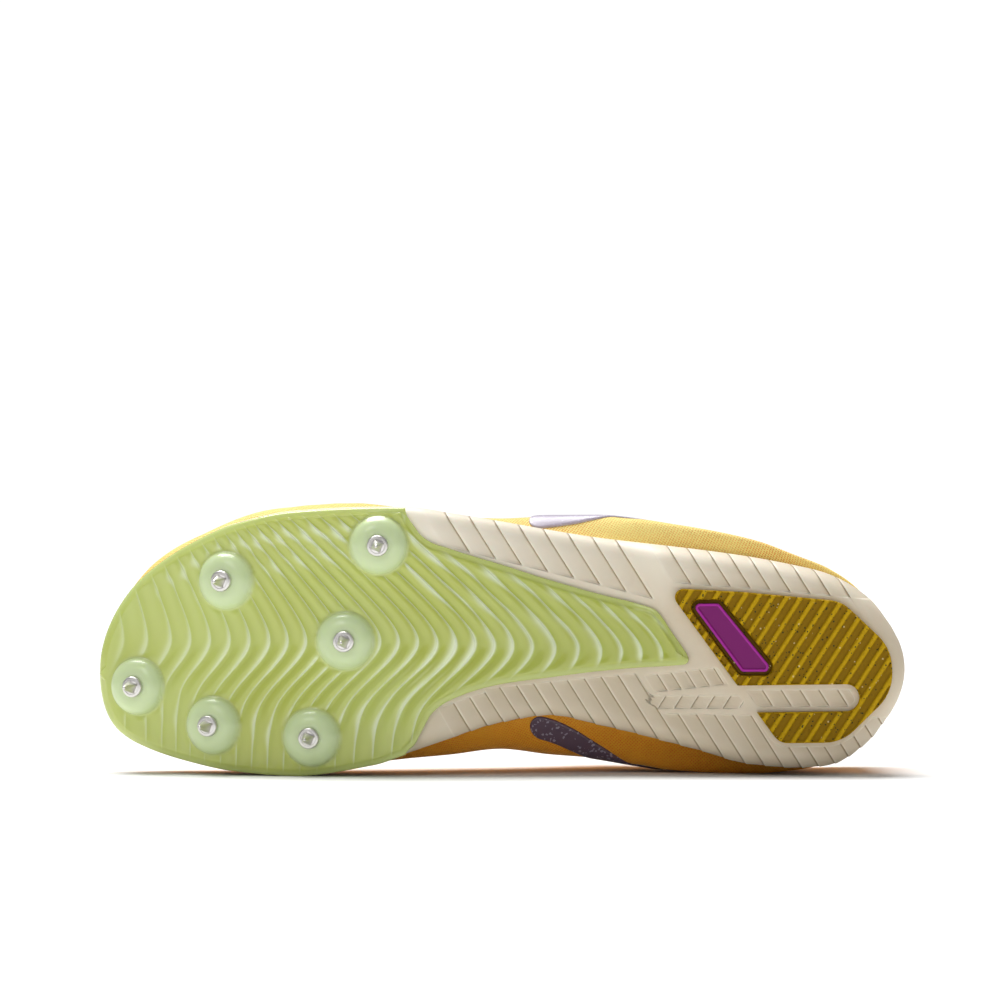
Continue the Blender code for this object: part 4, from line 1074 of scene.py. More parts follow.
def make_plate(finish):
    """Clear green plate: wraps the forefoot, waves, six bosses, tail under the waist."""
    length_share = TAIL_EDGE[-1].at
    full = PLATE + PLATE_WRAP

    # Rings of the edge: inset, then the rise where the plate lies flat and where it wraps
    rings = [(inset, rise, rise) for inset, rise in
             ((0.0027, 0.0), (0.0024, 0.00006), (0.0021, 0.00022), (0.0018, 0.00048))]
    for k in np.linspace(0.0, 1.0, 9)[1:]:
        rise = 0.0007 + 0.0020 * k ** 1.4
        rings.append((0.0016 * (1.0 - math.sin(k * math.pi / 2)) ** 1.5, 0.45 * rise, rise))
    rings += [(WRAP_LEAN * k, PLATE, 0.0027 + (full - 0.0027) * k) for k in (0.25, 0.5, 0.75, 0.95)]
    rings += [(PLATE_RIM * 0.35 + WRAP_LEAN, PLATE, full), (PLATE_RIM, PLATE, full - 0.0003),
              (PLATE_RIM, PLATE, PLATE + 0.0008), (0.0027, PLATE, PLATE)]

    def lifted(plain, wrapped):
        return at_height(lambda x: underside(x) - PLATE - GAP + plain + (wrapped - plain) * wrap(x),
                         plate_edge, length_share)

    profile = [(inset, lifted(plain, wrapped)) for inset, plain, wrapped in rings]
    points = slab(profile, PLATE_STATIONS, PLATE_STRIPS, plate_edge, length_share)
    x, y = points[..., 0], points[..., 1]
    at = x / SHOE_LENGTH
    first = len(profile)
    last = first + PLATE_STRIPS - 1
    order = np.arange(points.shape[1])[None, :]
    front = (order >= first - 12) & (order < last + 13)
    room = {"lateral": y - plate_edge(1.0, at), "medial": plate_edge(5.0, at) - y}
    crest = wave_field(x, y)
    height = 0.5 - 0.5 * np.cos((crest - 0.16) * math.tau)
    margin = np.minimum(room["lateral"], room["medial"])
    calm = smooth(0.0008, 0.0050, margin) * smooth(0.002, 0.012, x) * front
    calm *= smooth(0.0015, 0.0060, length_share * SHOE_LENGTH - x)
    toe = 0.55 + 0.45 * smooth(0.05, 0.30, at)
    dome = np.zeros(x.shape)
    frost = np.zeros(x.shape)
    clear = np.ones(x.shape)
    face_rows = (order >= first - 4) & (order < last + 5)
    moved = points.copy()
    moved[..., 2] -= (height - 0.5) * WAVE_HEIGHT * calm * toe
    for boss in BOSSES:
        placed = boss_frame(boss)
        centre, out = np.array(placed.translation), np.array(placed.col[2][:3])
        arm = points - centre
        rise = arm @ out
        radius = np.linalg.norm(arm - rise[..., None] * out, axis=-1)
        part = np.clip((radius - BOSS_TOP_RADIUS) / (BOSS_RADIUS - BOSS_TOP_RADIUS), 0.0, 1.0)
        lump = BOSS_HEIGHT * np.clip(1.0 - part ** 2.1, 0.0, 1.0) ** 0.62
        inside = face_rows & (radius < BOSS_RADIUS + 0.0030)
        flatten = (1.0 - smooth(BOSS_RADIUS, BOSS_RADIUS + 0.0022, radius)) * face_rows
        moved[..., 2] += (height - 0.5) * WAVE_HEIGHT * calm * toe * flatten
        moved += np.where(inside, lump, 0.0)[..., None] * out
        clear *= 1.0 - flatten
        halo = 1.0 - smooth(BOSS_RADIUS - 0.0012, BOSS_RADIUS + 0.0008, radius)
        frost = np.maximum(frost, np.where(face_rows, halo, 0.0))
        dome = np.maximum(dome, np.where(inside, lump / BOSS_HEIGHT, 0.0))
    marks = {"crest": crest, "waved": calm * clear * toe, "frost": frost, "dome": dome,
             "odd_highlight_swell": highlight_swell(x, y, room, True), "even_highlight_swell": highlight_swell(x, y, room, False),
             "edge": (1.0 - smooth(0.0, 0.0035, margin)) * front}
    return keep("spike_plate_shell", formed(moved, marks), finish, ["spike_plate"])


def make_spike(number, boss, finish):
    """Steel spike: round flange with a turned groove, four wrench flats and a point."""
    low = BOSS_HEIGHT + GAP
    top = low + FLANGE_THICKNESS
    tip = top + SPIKE_LENGTH
    half = SPIKE_WIDTH / 2
    flange = [(0.0, low), (0.97, low), (1.0, low + 0.0001), (1.0, low + 0.0008), (0.975, low + 0.0010),
              (0.93, top - 0.0001), (0.88, top), (0.74, top), (0.71, top - 0.00025), (0.66, top - 0.00025)]
    wrench = [(1.02, top, 1), (1.0, top + 0.0002, 1), (0.97, top + 0.0011, 1), (0.93, top + 0.0015, 1),
              (0.88, top + 0.0018, 0.7)]
    profile = [(FLANGE_RADIUS * share, height, 0) for share, height in flange]
    profile += [(half * share, height, square) for share, height, square in wrench]
    for k in range(1, 9):
        part = k / 8
        profile.append((half * 0.88 + (0.00055 - half * 0.88) * part,
                        top + 0.0018 + (SPIKE_LENGTH - 0.0021) * part, 0.7 * (1.0 - part)))
    profile += [(0.00040, tip - 0.00015, 0), (0.00018, tip - 0.00003, 0), (0.0, tip, 0)]
    around = np.linspace(0.0, math.tau, 49)
    wave = np.abs(np.mod(around + 0.4, math.pi / 2) - math.pi / 4)
    flat = np.minimum(0.80 / np.cos(math.pi / 4 - np.minimum(wave, math.pi / 4)), 1.0)
    placed = np.array(boss_frame(boss))
    rings = []
    for radius, height, square in profile:
        reach = radius * (1.0 + (flat - 1.0) * square)
        local = stack(reach * np.cos(around), reach * np.sin(around), np.full(around.shape, height))
        rings.append(local @ placed[:3, :3].T + placed[:3, 3])
    piece = keep(f"steel_spike_{number}", formed(np.stack(rings, 0)), finish, [f"spike_{number}"])
    piece.data.set_sharp_from_angle(angle=math.radians(38.0))
    return piece


# Heel tread and its inlay

def rounded(corners, steps=7):
    """Plan outline through corners, each rounded by an arc."""
    spots = [Vector((c.at * SHOE_LENGTH, c.across * BALL_WIDTH)) for c in corners]
    count = len(spots)
    points = []
    for i, corner in enumerate(corners):
        before = (spots[i] - spots[i - 1]).normalized()
        after = (spots[(i + 1) % count] - spots[i]).normalized()
        swing = before.angle_signed(after)
        radius = corner.radius * BALL_WIDTH
        reach = radius * math.tan(abs(swing) / 2)
        centre = spots[i] + (after - before).normalized() * math.hypot(radius, reach)
        arm = spots[i] - before * reach - centre
        turn = -swing
        for k in range(steps + 1):
            spin = turn * k / steps
            points.append((centre.x + arm.x * math.cos(spin) - arm.y * math.sin(spin),
                           centre.y + arm.x * math.sin(spin) + arm.y * math.cos(spin)))
    return np.array(points)


def depth_inside(outline, x, y):
    """Distance to a closed outline in plan, positive inside it."""
    nearest = np.full(x.shape, 1.0)
    crossings = np.zeros(x.shape, int)
    for (ax, ay), (bx, by) in zip(outline, np.roll(outline, -1, axis=0)):
        ex, ey = bx - ax, by - ay
        part = np.clip(((x - ax) * ex + (y - ay) * ey) / max(ex * ex + ey * ey, 1e-18), 0.0, 1.0)
        nearest = np.minimum(nearest, np.hypot(x - ax - part * ex, y - ay - part * ey))
        spans = (ay > y) != (by > y)
        meet = ax + (y - ay) * ex / (ey if ey else 1e-18)
        crossings += spans & (x < meet)
    return np.where(crossings % 2 == 1, nearest, -nearest)


def channel_depth(x, y):
    """Distance inside the straight channel with its round end."""
    start = np.array((CHANNEL_START.at * SHOE_LENGTH, CHANNEL_START.across * BALL_WIDTH))
    end = np.array((CHANNEL_END.at * SHOE_LENGTH, CHANNEL_END.across * BALL_WIDTH))
    way = (end - start) / np.linalg.norm(end - start)
    run = (x - start[0]) * way[0] + (y - start[1]) * way[1]
    off = (y - start[1]) * way[0] - (x - start[0]) * way[1]
    past = np.maximum(run - np.linalg.norm(end - start), 0.0)
    return CHANNEL_WIDTH / 2 - np.hypot(off, past)


def eased(room, radius):
    """How far a rounded edge falls back at a distance from it."""
    part = np.clip(1.0 - room / radius, 0.0, 1.0)
    return radius * (1.0 - np.sqrt(np.clip(1.0 - part ** 2, 0.0, 1.0)))


def tread_piece(name, outline, inside, height, finish, *, margin, spacing, back, node):
    """Flat-backed moulding: a plan shape with a worked face and upright walls."""
    low_corner, high_corner = outline.min(0) - margin, outline.max(0) + margin
    rows, columns = ((high_corner - low_corner) / spacing).astype(int)
    bm = bmesh.new()
    bmesh.ops.create_grid(bm, x_segments=int(rows), y_segments=int(columns), size=1.0)
    low = bm.verts.layers.float.new("low")
    verts = list(bm.verts)
    plan = np.array([vert.co for vert in verts])[:, :2]
    x, y = (low_corner + (plan + 1.0) / 2.0 * (high_corner - low_corner)).T
    room = inside(x, y)
    near = np.abs(room) < spacing * 0.72
    step = 0.00005

    # Grid points near the outline move onto it
    for _ in range(3):
        here = inside(x, y)
        slope_x = (inside(x + step, y) - here) / step
        slope_y = (inside(x, y + step) - here) / step
        length = np.maximum(slope_x ** 2 + slope_y ** 2, 0.25)
        x = np.where(near, x - slope_x / length * here, x)
        y = np.where(near, y - slope_y / length * here, y)
    z = height(x, y)
    for vert, px, py, pz in zip(verts, x, y, z):
        vert.co = (px, py, pz)
        vert[low] = pz / RIB_DEPTH
    gone = [vert for vert, depth, edge in zip(verts, room, near) if depth < 0.0 and not edge]
    bmesh.ops.delete(bm, geom=gone, context="VERTS")
    rim = [edge for edge in bm.edges if len(edge.link_faces) == 1]
    out = bmesh.ops.extrude_edge_only(bm, edges=rim)["geom"]
    for vert in (item for item in out if isinstance(item, bmesh.types.BMVert)):
        vert.co.z = back
    floor = [item for item in out if isinstance(item, bmesh.types.BMEdge) and len(item.link_faces) == 1]
    bmesh.ops.triangle_fill(bm, use_beauty=True, edges=floor)
    bmesh.ops.recalc_face_normals(bm, faces=bm.faces)
    piece = keep(name, bm, finish, [node])
    piece.data.set_sharp_from_angle(angle=math.radians(50.0))
    return piece


def make_heel_rubber(finish):
    """Mustard tread with slanted ribs in a raised rim, a channel and a pocket."""
    outline, pocket = rounded(RUBBER), rounded(INLAY)
    pitch = RIB_PITCH * math.sin(RIB_SLANT)
    start = RUBBER[0].at * SHOE_LENGTH - BALL_WIDTH / math.tan(RIB_SLANT) / 2
    origin = start * math.sin(RIB_SLANT) + BALL_WIDTH / 2 * math.cos(RIB_SLANT)

    def inside(x, y):
        return np.minimum(depth_inside(outline, x, y), -channel_depth(x, y))

    def height(x, y):
        across_rib = x * math.sin(RIB_SLANT) + y * math.cos(RIB_SLANT)
        phase = np.mod((across_rib - origin) / pitch + 0.5, 1.0) - 0.5
        valley = 1.0 - smooth(RIB_VALLEY / 2 - 0.0002, RIB_VALLEY / 2 + 0.00025, np.abs(phase) * pitch)
        edge = depth_inside(outline, x, y)
        cut = -channel_depth(x, y)
        well = depth_inside(pocket, x, y) + INLAY_MOAT
        rim = smooth(RUBBER_RIM * 0.12, RUBBER_RIM * 0.35, edge) * smooth(0.0002, 0.0005, cut)
        z = RIB_DEPTH * valley * rim * smooth(0.0001, 0.0003, -well)
        z = np.maximum(z, POCKET_DEPTH * smooth(-0.0002, 0.0002, well))
        return z + eased(np.minimum(edge, cut), 0.0006)

    return tread_piece("heel_tread", outline, inside, height, finish, margin=0.001, spacing=0.00036,
                       back=TREAD, node="heel_rubber")


def make_heel_inlay(finish):
    """Slanted plaque with a raised rim, seated in the pocket."""
    outline = rounded(INLAY)

    def inside(x, y):
        return depth_inside(outline, x, y)

    def height(x, y):
        edge = inside(x, y)
        return 0.00045 * smooth(0.0008, 0.0011, edge) + eased(edge, 0.0003)

    return tread_piece("plaque", outline, inside, height, finish, margin=0.0005, spacing=0.00022,
                       back=POCKET_DEPTH, node="heel_inlay")


# Side bars

def level_at(turn, reach):
    """Levels that lie given distances up the wall from the cup rim, measured on its face."""
    fine = np.linspace(CUP_LEVEL, RIDGE_LEVEL, 181)
    return np.interp(reach, run_along(upper_point(turn, fine)), fine)


def make_side_bar(name, side, finish, node):
    """Plain slanted bar of one width on the side of the upper, with round ends."""
    swing = np.linspace(0.06, math.pi / 2, 16)
    start = BAR_ROUND_END * (1.0 - np.cos(swing))
    middle = np.linspace(BAR_ROUND_END, 1.0 - BAR_ROUND_END, 62)[1:-1]
    along = np.concatenate((start, middle, 1.0 - start[::-1]))
    share = np.concatenate((np.sin(swing), np.ones(len(middle)), np.sin(swing)[::-1]))
    first, last = SIDE_BAR[0].at, SIDE_BAR[-1].at
    at = first + (last - first) * along
    turn = np.arccos(1.0 - 2.0 * at)
    turn = turn if side == LATERAL else math.tau - turn
    reach = np.interp(at, [row.at for row in SIDE_BAR], [row.reach for row in SIDE_BAR]) * INSTEP_HEIGHT
    part = np.linspace(-1.0, 1.0, 19)
    levels = np.stack([level_at(spot, centre + part * BAR_WIDTH / 2 * wide)
                       for spot, centre, wide in zip(turn, reach, share)])
    spots = np.broadcast_to(turn[:, None], levels.shape)
    crown = np.sqrt(np.clip(1.0 - np.abs(part) ** 12, 0.0, 1.0))[None, :]
    crown = crown * np.minimum(1.0, share * 2.0)[:, None]
    low = upper_lift(spots, levels, BAR_STANDS_OFF)
    high = upper_lift(spots, levels, BAR_STANDS_OFF + BAR_THICKNESS * (0.2 + 0.8 * crown))
    points = np.concatenate((high, low[:, ::-1], high[:, :1]), 1)
    return keep(name, formed(points), finish, [node])


# Finishes

class Nodes:
    """Short names for the nodes of one tree."""

    def __init__(self, tree):
        self.tree = tree

    def feed(self, socket, amount):
        """Gives a socket a link or a plain value; a colour may come without its alpha."""
        if isinstance(amount, bpy.types.NodeSocket):
            self.tree.links.new(amount, socket)
        elif socket.type == "RGBA" and len(amount) == 3:
            socket.default_value = (*amount, 1.0)
        else:
            socket.default_value = amount

    def node(self, kind, settings=None, **inputs):
        """Node with its settings and its named inputs."""
        made = self.tree.nodes.new("ShaderNode" + kind)
        for key, amount in (settings or {}).items():
            setattr(made, key, amount)
        for key, amount in inputs.items():
            self.feed(made.inputs[key.replace("_", " ")], amount)
        return made

    def sum(self, operation, *terms):
        """Result of one sum."""
        made = self.node("Math", {"operation": operation})
        for socket, term in zip(made.inputs, terms):
            self.feed(socket, term)
        return made.outputs[0]

    def times(self, first, *others):
        """Product of all its terms."""
        for other in others:
            first = self.sum("MULTIPLY", first, other)
        return first

    def line(self, amount, slope, start):
        """Amount times a slope, from a start."""
        return self.sum("MULTIPLY_ADD", amount, slope, start)

    def ramp(self, amount, low, high):
        """Nought below low, one above high."""
        return self.node("MapRange", {"clamp": True}, Value=amount, From_Min=low, From_Max=high).outputs[0]

    def bell(self, distance, width):
        """One at nought, falling away on both sides over a width."""
        share = self.sum("DIVIDE", distance, width)
        return self.sum("EXPONENT", self.times(share, share, -1.0))

    def mixed(self, factor, first, second):
        """Blend of two colours."""
        made = self.node("Mix", {"data_type": "RGBA"}, Factor=factor)
        self.feed(made.inputs[6], first)
        self.feed(made.inputs[7], second)
        return made.outputs[2]

    def mark(self, name):
        """Number that the mesh carries for each of its points."""
        return self.node("Attribute", {"attribute_name": name}).outputs["Fac"]

    def place(self, axis):
        """How far along an axis a point lies as the shoe lies."""
        return self.node("SeparateXYZ", None, Vector=self.solid).outputs[axis]

    def noise(self, scale, detail, **inputs):
        """Soft noise."""
        return self.node("TexNoise", None, Vector=self.solid, Scale=scale, Detail=detail, **inputs).outputs[0]

    def cells(self, scale, **inputs):
        """Distance from the middle of the nearest cell, and a random number for each cell."""
        made = self.node("TexVoronoi", {"feature": "F1"}, Vector=self.solid, Scale=scale, **inputs)
        chosen = self.node("TexWhiteNoise", {"noise_dimensions": "3D"}, Vector=made.outputs["Position"])
        return made.outputs["Distance"], chosen.outputs[0]

    def looks(self, **sockets):
        """Sets sockets of the finish's shader."""
        for key, amount in sockets.items():
            self.feed(self.tree.nodes["Principled BSDF"].inputs[key.replace("_", " ")], amount)

    def bump(self, height, distance, strength):
        """Bump from a height."""
        made = self.node("Bump", None, Height=height, Distance=distance, Strength=strength)
        self.looks(Normal=made.outputs[0])


def new_finish(name, **sockets):
    """Finish with its plain values set, and the nodes to go on with."""
    made = bpy.data.materials.new(name)
    made.use_nodes = True
    nodes = Nodes(made.node_tree)
    nodes.solid = nodes.node("TexCoord").outputs["Object"]
    nodes.looks(**sockets)
    return made, nodes


def knit_finish():
    """Knit, yellow above and orange below, with painted light making its top paler and painted shade
    deepening its orange towards the floor: fine courses, rows of small dots, tape, eyelets whose holes are
    painted dark as shade.
    """
    made, use = new_finish("knit", Roughness=0.82, Sheen_Weight=0.5, Sheen_Roughness=0.45,
                           Sheen_Tint=(1.0, 0.78, 0.36), Specular_IOR_Level=0.2)
    cloth = use.node("UVMap", {"uv_map": "cloth"}).outputs[0]
    turned = use.node("Mapping", None, Vector=cloth, Rotation=(0.0, 0.0, math.radians(32.0))).outputs[0]
    dots = use.node("TexVoronoi", {"feature": "F1"}, Vector=turned, Scale=1150.0, Randomness=0.18)
    courses = use.node("TexWave", {"wave_type": "BANDS", "bands_direction": "Y"}, Vector=turned,
                       Scale=420.0, Distortion=0.8, Detail=1.0).outputs[0]
    patches, height = use.noise(38.0, 3.0), use.place("Z")
    tape, inside, eyelet = (use.mark(name) for name in ("tape", "inside", "eyelet"))
    hole = use.times(use.ramp(dots.outputs["Distance"], 0.42, 0.22), use.sum("SUBTRACT", 1.0, tape))
    shown = use.times(hole, use.line(use.ramp(patches, 0.35, 0.62), 0.6, 0.3))
    yarn_and_painted_light = use.mixed(patches, (0.99, 0.73, 0.200), (0.98, 0.68, 0.150))
    # Painted light and shade by height as the shoe lies: deeper orange towards the floor, partly the knit's
    # own orange and partly painted shade, then paler yellow on top as painted light
    yarn_and_painted_light = use.mixed(use.ramp(height, 0.070, 0.015), yarn_and_painted_light, (0.88, 0.40, 0.030))
    yarn_and_painted_light = use.mixed(use.ramp(height, 0.060, 0.088), yarn_and_painted_light, (1.0, 0.86, 0.32))
    colour = use.mixed(shown, yarn_and_painted_light, (0.82, 0.20, 0.012))
    colour = use.mixed(use.times(tape, 0.5), colour, (0.93, 0.42, 0.045))
    colour = use.mixed(inside, colour, use.mixed(hole, (0.80, 0.42, 0.10), (0.60, 0.26, 0.05)))
    reach = EYELET_RADIUS * 1000.0
    ring = use.bell(use.sum("SUBTRACT", eyelet, reach + 0.4), 0.35)
    colour = use.mixed(ring, colour, (0.80, 0.36, 0.05))
    # Painted shade: a near-black disc at each eyelet stands for the dark inside of a hole that the mesh does
    # not have
    opening = use.ramp(eyelet, reach + 0.1, reach - 0.2)
    use.looks(Base_Color=use.mixed(opening, colour, (0.05, 0.02, 0.01)))
    use.bump(use.line(hole, -1.0, use.times(courses, 0.35)), 0.00025, 0.5)
    return made


def plate_finish():
    """Clear yellow-green plastic: painted shade darkens it just behind each crest, sharp pale painted
    highlights run along its crests, a paler painted highlight runs along its rim, and its bosses are milky.
    """
    made, use = new_finish("clear_plate", Subsurface_Weight=0.25, Subsurface_Scale=0.003, IOR=1.5,
                           Subsurface_Radius=(0.8, 1.0, 0.3), Coat_Weight=0.35, Coat_Roughness=0.12)
    crest, waved, frost, edge, dome, odd_highlight_swell, even_highlight_swell = (use.mark(name) for name in (
        "crest", "waved", "frost", "edge", "dome", "odd_highlight_swell", "even_highlight_swell"))
    phase = use.sum("FRACT", crest)
    odd = use.sum("FLOORED_MODULO", use.sum("FLOOR", crest), 2.0)
    swell = use.line(use.sum("SUBTRACT", odd_highlight_swell, even_highlight_swell), odd, even_highlight_swell)
    width = use.line(swell, CREST_HIGHLIGHT_BROAD - CREST_HIGHLIGHT_FINE, CREST_HIGHLIGHT_FINE)
    before = use.line(phase, -CREST_PITCH, CREST_PITCH)
    behind = use.times(phase, CREST_PITCH)
    # Painted highlight: a pale line along each crest, broad where it swells into a lens-shaped highlight
    crest_highlight = use.sum("MAXIMUM", use.bell(before, width), use.bell(behind, use.times(width, 0.35)))
    pale = use.times(crest_highlight, use.line(swell, 0.42, 0.55), waved)
    # Painted shade: darker green just behind each crest, where its step shades the valley
    valley = use.times(use.bell(behind, 0.0022), waved)
    rim = use.times(frost, use.sum("SUBTRACT", 1.0, use.ramp(dome, 0.0, 0.7)))
    clouds = use.ramp(use.noise(16.0, 2.0), 0.35, 0.65)
    body = use.mixed(clouds, (0.47, 0.520, 0.100), (0.52, 0.60, 0.170))
    for share, colour in ((use.ramp(use.place("X"), -0.04, 0.05), (0.40, 0.445, 0.065)),
                          # Painted shade behind each crest
                          (use.times(valley, 0.55), (0.36, 0.43, 0.030)),
                          # Painted highlight: paler along the plate's rolled rim
                          (use.times(edge, 0.30), (0.66, 0.76, 0.42)),
                          (use.times(frost, 0.85), (0.60, 0.72, 0.44)),
                          (use.times(rim, 0.55), (0.70, 0.82, 0.54)),
                          # Painted highlight along the crests
                          (pale, (0.88, 0.97, 0.74))):
        body = use.mixed(share, body, colour)
    use.looks(Base_Color=body, Roughness=use.line(frost, 0.10, 0.22))
    rise = use.times(use.sum("POWER", phase, 1.7), use.ramp(before, 0.0, 0.00045))
    use.bump(use.times(rise, waved), CREST_STEP, 0.45)
    return made


def foam_finish():
    """Cream foam with a fine skin and a trace of dust, painted shade down each rib's slope and darkest at its
    step, painted highlights on each rib's edge and foot, and painted light making it paler higher up.
    """
    made, use = new_finish("cream_foam", Subsurface_Weight=0.08, Subsurface_Scale=0.002)
    skin, dust = use.noise(1500.0, 3.0), use.noise(45.0, 5.0, Roughness=0.6)
    phase, within = use.sum("FRACT", use.mark("rib")), use.mark("within")
    ribbed = use.ramp(within, 0.0, 0.35)
    # Painted shade: rise darkens each rib's slope towards its step, and groove marks the darkest painted
    # shade at the step
    rise = use.times(use.ramp(phase, 0.0, 0.94), use.ramp(phase, 1.0, 0.95))
    groove = use.times(use.ramp(phase, 0.86, 0.95), use.ramp(phase, 1.0, 0.96))
    # Painted highlight along each rib's edge and along its inner foot
    crest = use.times(use.ramp(phase, 0.12, 0.0), 0.75)
    foot = use.times(use.bell(use.sum("SUBTRACT", within, 0.20), 0.22), rise)
    light = use.sum("MAXIMUM", use.times(crest, ribbed), foot)
    colour = use.mixed(use.ramp(dust, 0.40, 0.75), (0.70, 0.610, 0.470), (0.64, 0.545, 0.400))
    # Painted light: the foam is paler higher up as the shoe lies, where the light falls; then the ribs'
    # painted shade and painted highlights
    for share, tone in ((use.times(use.ramp(use.place("Z"), 0.055, 0.085), 0.8), (0.93, 0.87, 0.74)),
                        # Painted shade down each rib's slope and at its step
                        (use.times(rise, ribbed, 0.30), (0.50, 0.40, 0.25)),
                        (use.times(groove, ribbed, 0.85), (0.33, 0.24, 0.13)),
                        # Painted highlight on the rib edges and feet
                        (use.times(light, 0.8), (0.90, 0.84, 0.70))):
        colour = use.mixed(share, colour, tone)
    use.looks(Base_Color=colour, Roughness=use.line(dust, 0.2, 0.42))
    use.bump(use.line(skin, 0.05, use.times(rise, ribbed, -1.0)), FOAM_RIB, 0.7)
    return made


def tread_finish():
    """Mustard rubber with dark and pale crumbs, painted shade darkening its grooves and, deeper still, its
    pocket.
    """
    made, use = new_finish("mustard_rubber", Roughness=0.62, Specular_IOR_Level=0.15)
    distance, chosen = use.cells(850.0, Randomness=1.0)
    grain, low = use.noise(1300.0, 3.0), use.mark("low")
    spot = use.sum("LESS_THAN", distance, use.line(grain, 0.30, 0.12))
    colour = use.mixed(use.ramp(grain, 0.3, 0.7), (0.44, 0.265, 0.001), (0.53, 0.33, 0.001))
    # Painted shade: darker in the recessed grooves and darker still in the pocket around the inlay
    for share, tone in ((use.times(use.ramp(low, 0.2, 0.9), 0.8), (0.20, 0.105, 0.0)),
                        (use.times(use.ramp(low, 1.1, 1.6), 0.8), (0.10, 0.05, 0.0)),
                        (use.times(spot, use.sum("LESS_THAN", chosen, 0.27), 0.92), (0.020, 0.035, 0.010)),
                        (use.times(spot, use.sum("GREATER_THAN", chosen, 0.96), 0.7), (0.75, 0.62, 0.30))):
        colour = use.mixed(share, colour, tone)
    use.looks(Base_Color=colour)
    use.bump(grain, 0.00008, 0.6)
    return made


def inlay_finish():
    """Purple moulded plaque, satin."""
    made, use = new_finish("purple_plaque", Roughness=0.42, Specular_IOR_Level=0.25)
    face = use.ramp(use.mark("low"), 0.0, 0.3)
    use.looks(Base_Color=use.mixed(face, (0.36, 0.020, 0.30), (0.185, 0.006, 0.13)))
    use.bump(use.noise(1600.0, 2.0), 0.00003, 0.5)
    return made


def steel_finish():
    """Turned steel, lightly rubbed."""
    made, use = new_finish("steel", Base_Color=(0.70, 0.68, 0.66), Metallic=0.9)
    marks = use.noise(2600.0, 3.0)
    use.looks(Roughness=use.line(marks, 0.18, 0.27))
    use.bump(marks, 0.00002, 0.4)
    return made


def film_finish():
    """Violet printed film with a grain, paler flecks painted as the glints of its glitter, and painted shade
    making it darker towards the floor.
    """
    made, use = new_finish("violet_film", Roughness=0.34, Coat_Weight=0.3, Coat_Roughness=0.2)
    distance, chosen = use.cells(1500.0)
    # Painted shade: the film darkens towards the floor, where the medial bar lies in shade
    ground = use.mixed(use.ramp(use.place("Z"), 0.020, 0.075), (0.10, 0.06, 0.10), (0.46, 0.41, 0.50))
    # Painted glints: random cells painted paler as the sparkle of the film's glitter
    painted_glint = use.times(use.sum("GREATER_THAN", chosen, 0.90), 0.35)
    use.looks(Base_Color=use.mixed(painted_glint, ground, (0.66, 0.62, 0.78)))
    use.bump(distance, 0.00006, 0.6)
    return made


def cloth_finish(name, light, dark, scale, bump):
    """Plain woven cloth for the tongue, insole and lace."""
    made, use = new_finish(name, Roughness=0.85, Sheen_Weight=0.2)
    warp, weft = (use.node("TexWave", {"bands_direction": axis}, Vector=use.solid, Scale=scale,
                           Distortion=0.5).outputs[0] for axis in "XZ")
    weave = use.times(warp, weft)
    use.looks(Base_Color=use.mixed(weave, dark, light))
    use.bump(weave, bump, 0.8)
    return made


# Floor, light and camera

FLOOR_HALF = 6.0
VIEW_WIDTH = 0.350
VIEW_DISTANCE = 2.0
EYE_HEIGHT = 0.097
SKY_LIGHT = 0.22
SKY_SEEN = 1.05
SUN_STRENGTH, SUN_SPREAD, SUN_FROM = 4.1, math.radians(42.0), (-0.16, 0.26, 1.0)
FRONT_POWER, FRONT_SIZE, FRONT_FROM = 5.5, 0.9, (-0.75, -1.50, 1.10)


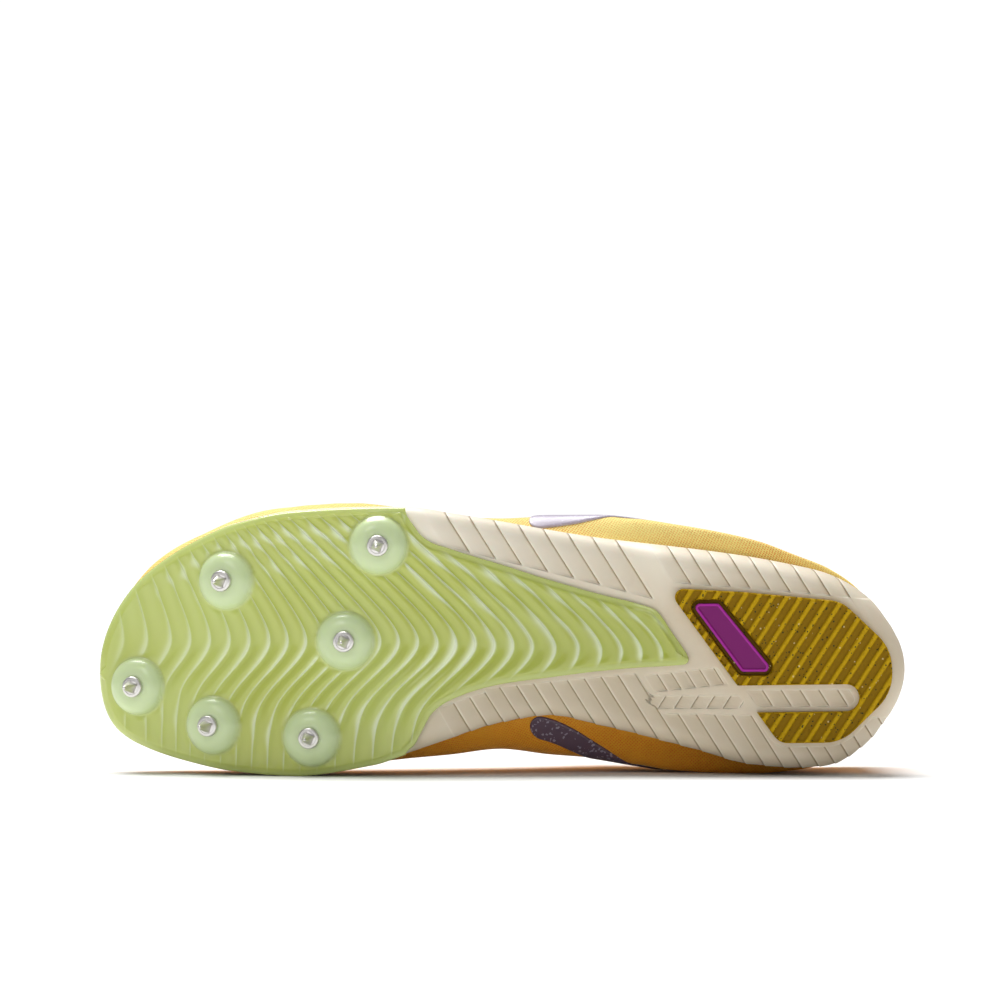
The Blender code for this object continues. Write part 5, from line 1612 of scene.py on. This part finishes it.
def make_stage():
    """Pale floor, a broad light above, a soft one in front and a white sky."""
    bm = bmesh.new()
    bmesh.ops.create_grid(bm, x_segments=8, y_segments=8, size=FLOOR_HALF)
    mesh = bpy.data.meshes.new("floor")
    bm.to_mesh(mesh)
    bm.free()
    floor = bpy.data.objects.new("floor", mesh)
    bpy.context.collection.objects.link(floor)
    mesh.materials.append(new_finish("floor", Base_Color=(0.90, 0.90, 0.90), Roughness=0.95,
                                     Specular_IOR_Level=0.1)[0])
    floor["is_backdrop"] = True

    above = bpy.data.lights.new("light_above", "SUN")
    above.energy = SUN_STRENGTH
    above.angle = SUN_SPREAD
    front = bpy.data.lights.new("light_front", "AREA")
    front.shape = "DISK"
    front.size = FRONT_SIZE
    front.energy = FRONT_POWER
    for lamp, place in ((above, SUN_FROM), (front, FRONT_FROM)):
        light = bpy.data.objects.new(lamp.name, lamp)
        light.location = place
        light.rotation_euler = Vector(place).to_track_quat("Z", "Y").to_euler()
        bpy.context.collection.objects.link(light)

    world = bpy.data.worlds.new("sky")
    bpy.context.scene.world = world
    world.use_nodes = True
    use = Nodes(world.node_tree)
    sky = world.node_tree.nodes["Background"]
    use.feed(sky.inputs["Color"], (1.0, 1.0, 1.0))
    seen = use.node("LightPath").outputs["Is Camera Ray"]
    use.feed(sky.inputs["Strength"], use.line(seen, SKY_SEEN - SKY_LIGHT, SKY_LIGHT))
    bpy.context.scene.view_settings.view_transform = "Standard"


def make_camera():
    """Level camera square to the sole, framing the shoe as in the photograph."""
    lens = bpy.data.cameras.new("camera")
    lens.sensor_width = 36.0
    lens.lens = lens.sensor_width * VIEW_DISTANCE / VIEW_WIDTH
    lens.clip_start = 0.05
    camera = bpy.data.objects.new("camera", lens)
    camera.location = (0.0, LIES_AT.y - VIEW_DISTANCE, EYE_HEIGHT)
    camera.rotation_euler = (math.pi / 2, 0.0, 0.0)
    bpy.context.collection.objects.link(camera)
    bpy.context.scene.camera = camera


make_camera()
make_stage()
padding = cloth_finish("padding", (0.86, 0.46, 0.10), (0.66, 0.27, 0.04), 420.0, 0.0002)
sheet = cloth_finish("sheet", (0.16, 0.15, 0.18), (0.09, 0.085, 0.11), 380.0, 0.0002)
cord = cloth_finish("cord", (0.88, 0.50, 0.16), (0.66, 0.30, 0.06), 620.0, 0.0003)
steel = steel_finish()
film = film_finish()

make_upper(knit_finish())
make_tongue(padding)
make_insole(sheet)
make_midsole(foam_finish())
make_plate(plate_finish())
make_heel_rubber(tread_finish())
make_heel_inlay(inlay_finish())
make_side_bar("bar_lateral", LATERAL, film, "side_bar_lateral")
make_side_bar("bar_medial", MEDIAL, film, "side_bar_medial")
for number, boss in enumerate(BOSSES, start=1):
    make_spike(number, boss, steel)
turns = lace_turns()
for number, (turn, level) in enumerate(zip(turns, eyelet_levels(turns)), start=1):
    make_lace(number, turn, level, cord)

for low_high in (cad_box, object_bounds()):
    str([list(corner) for corner in low_high]) + "\n"
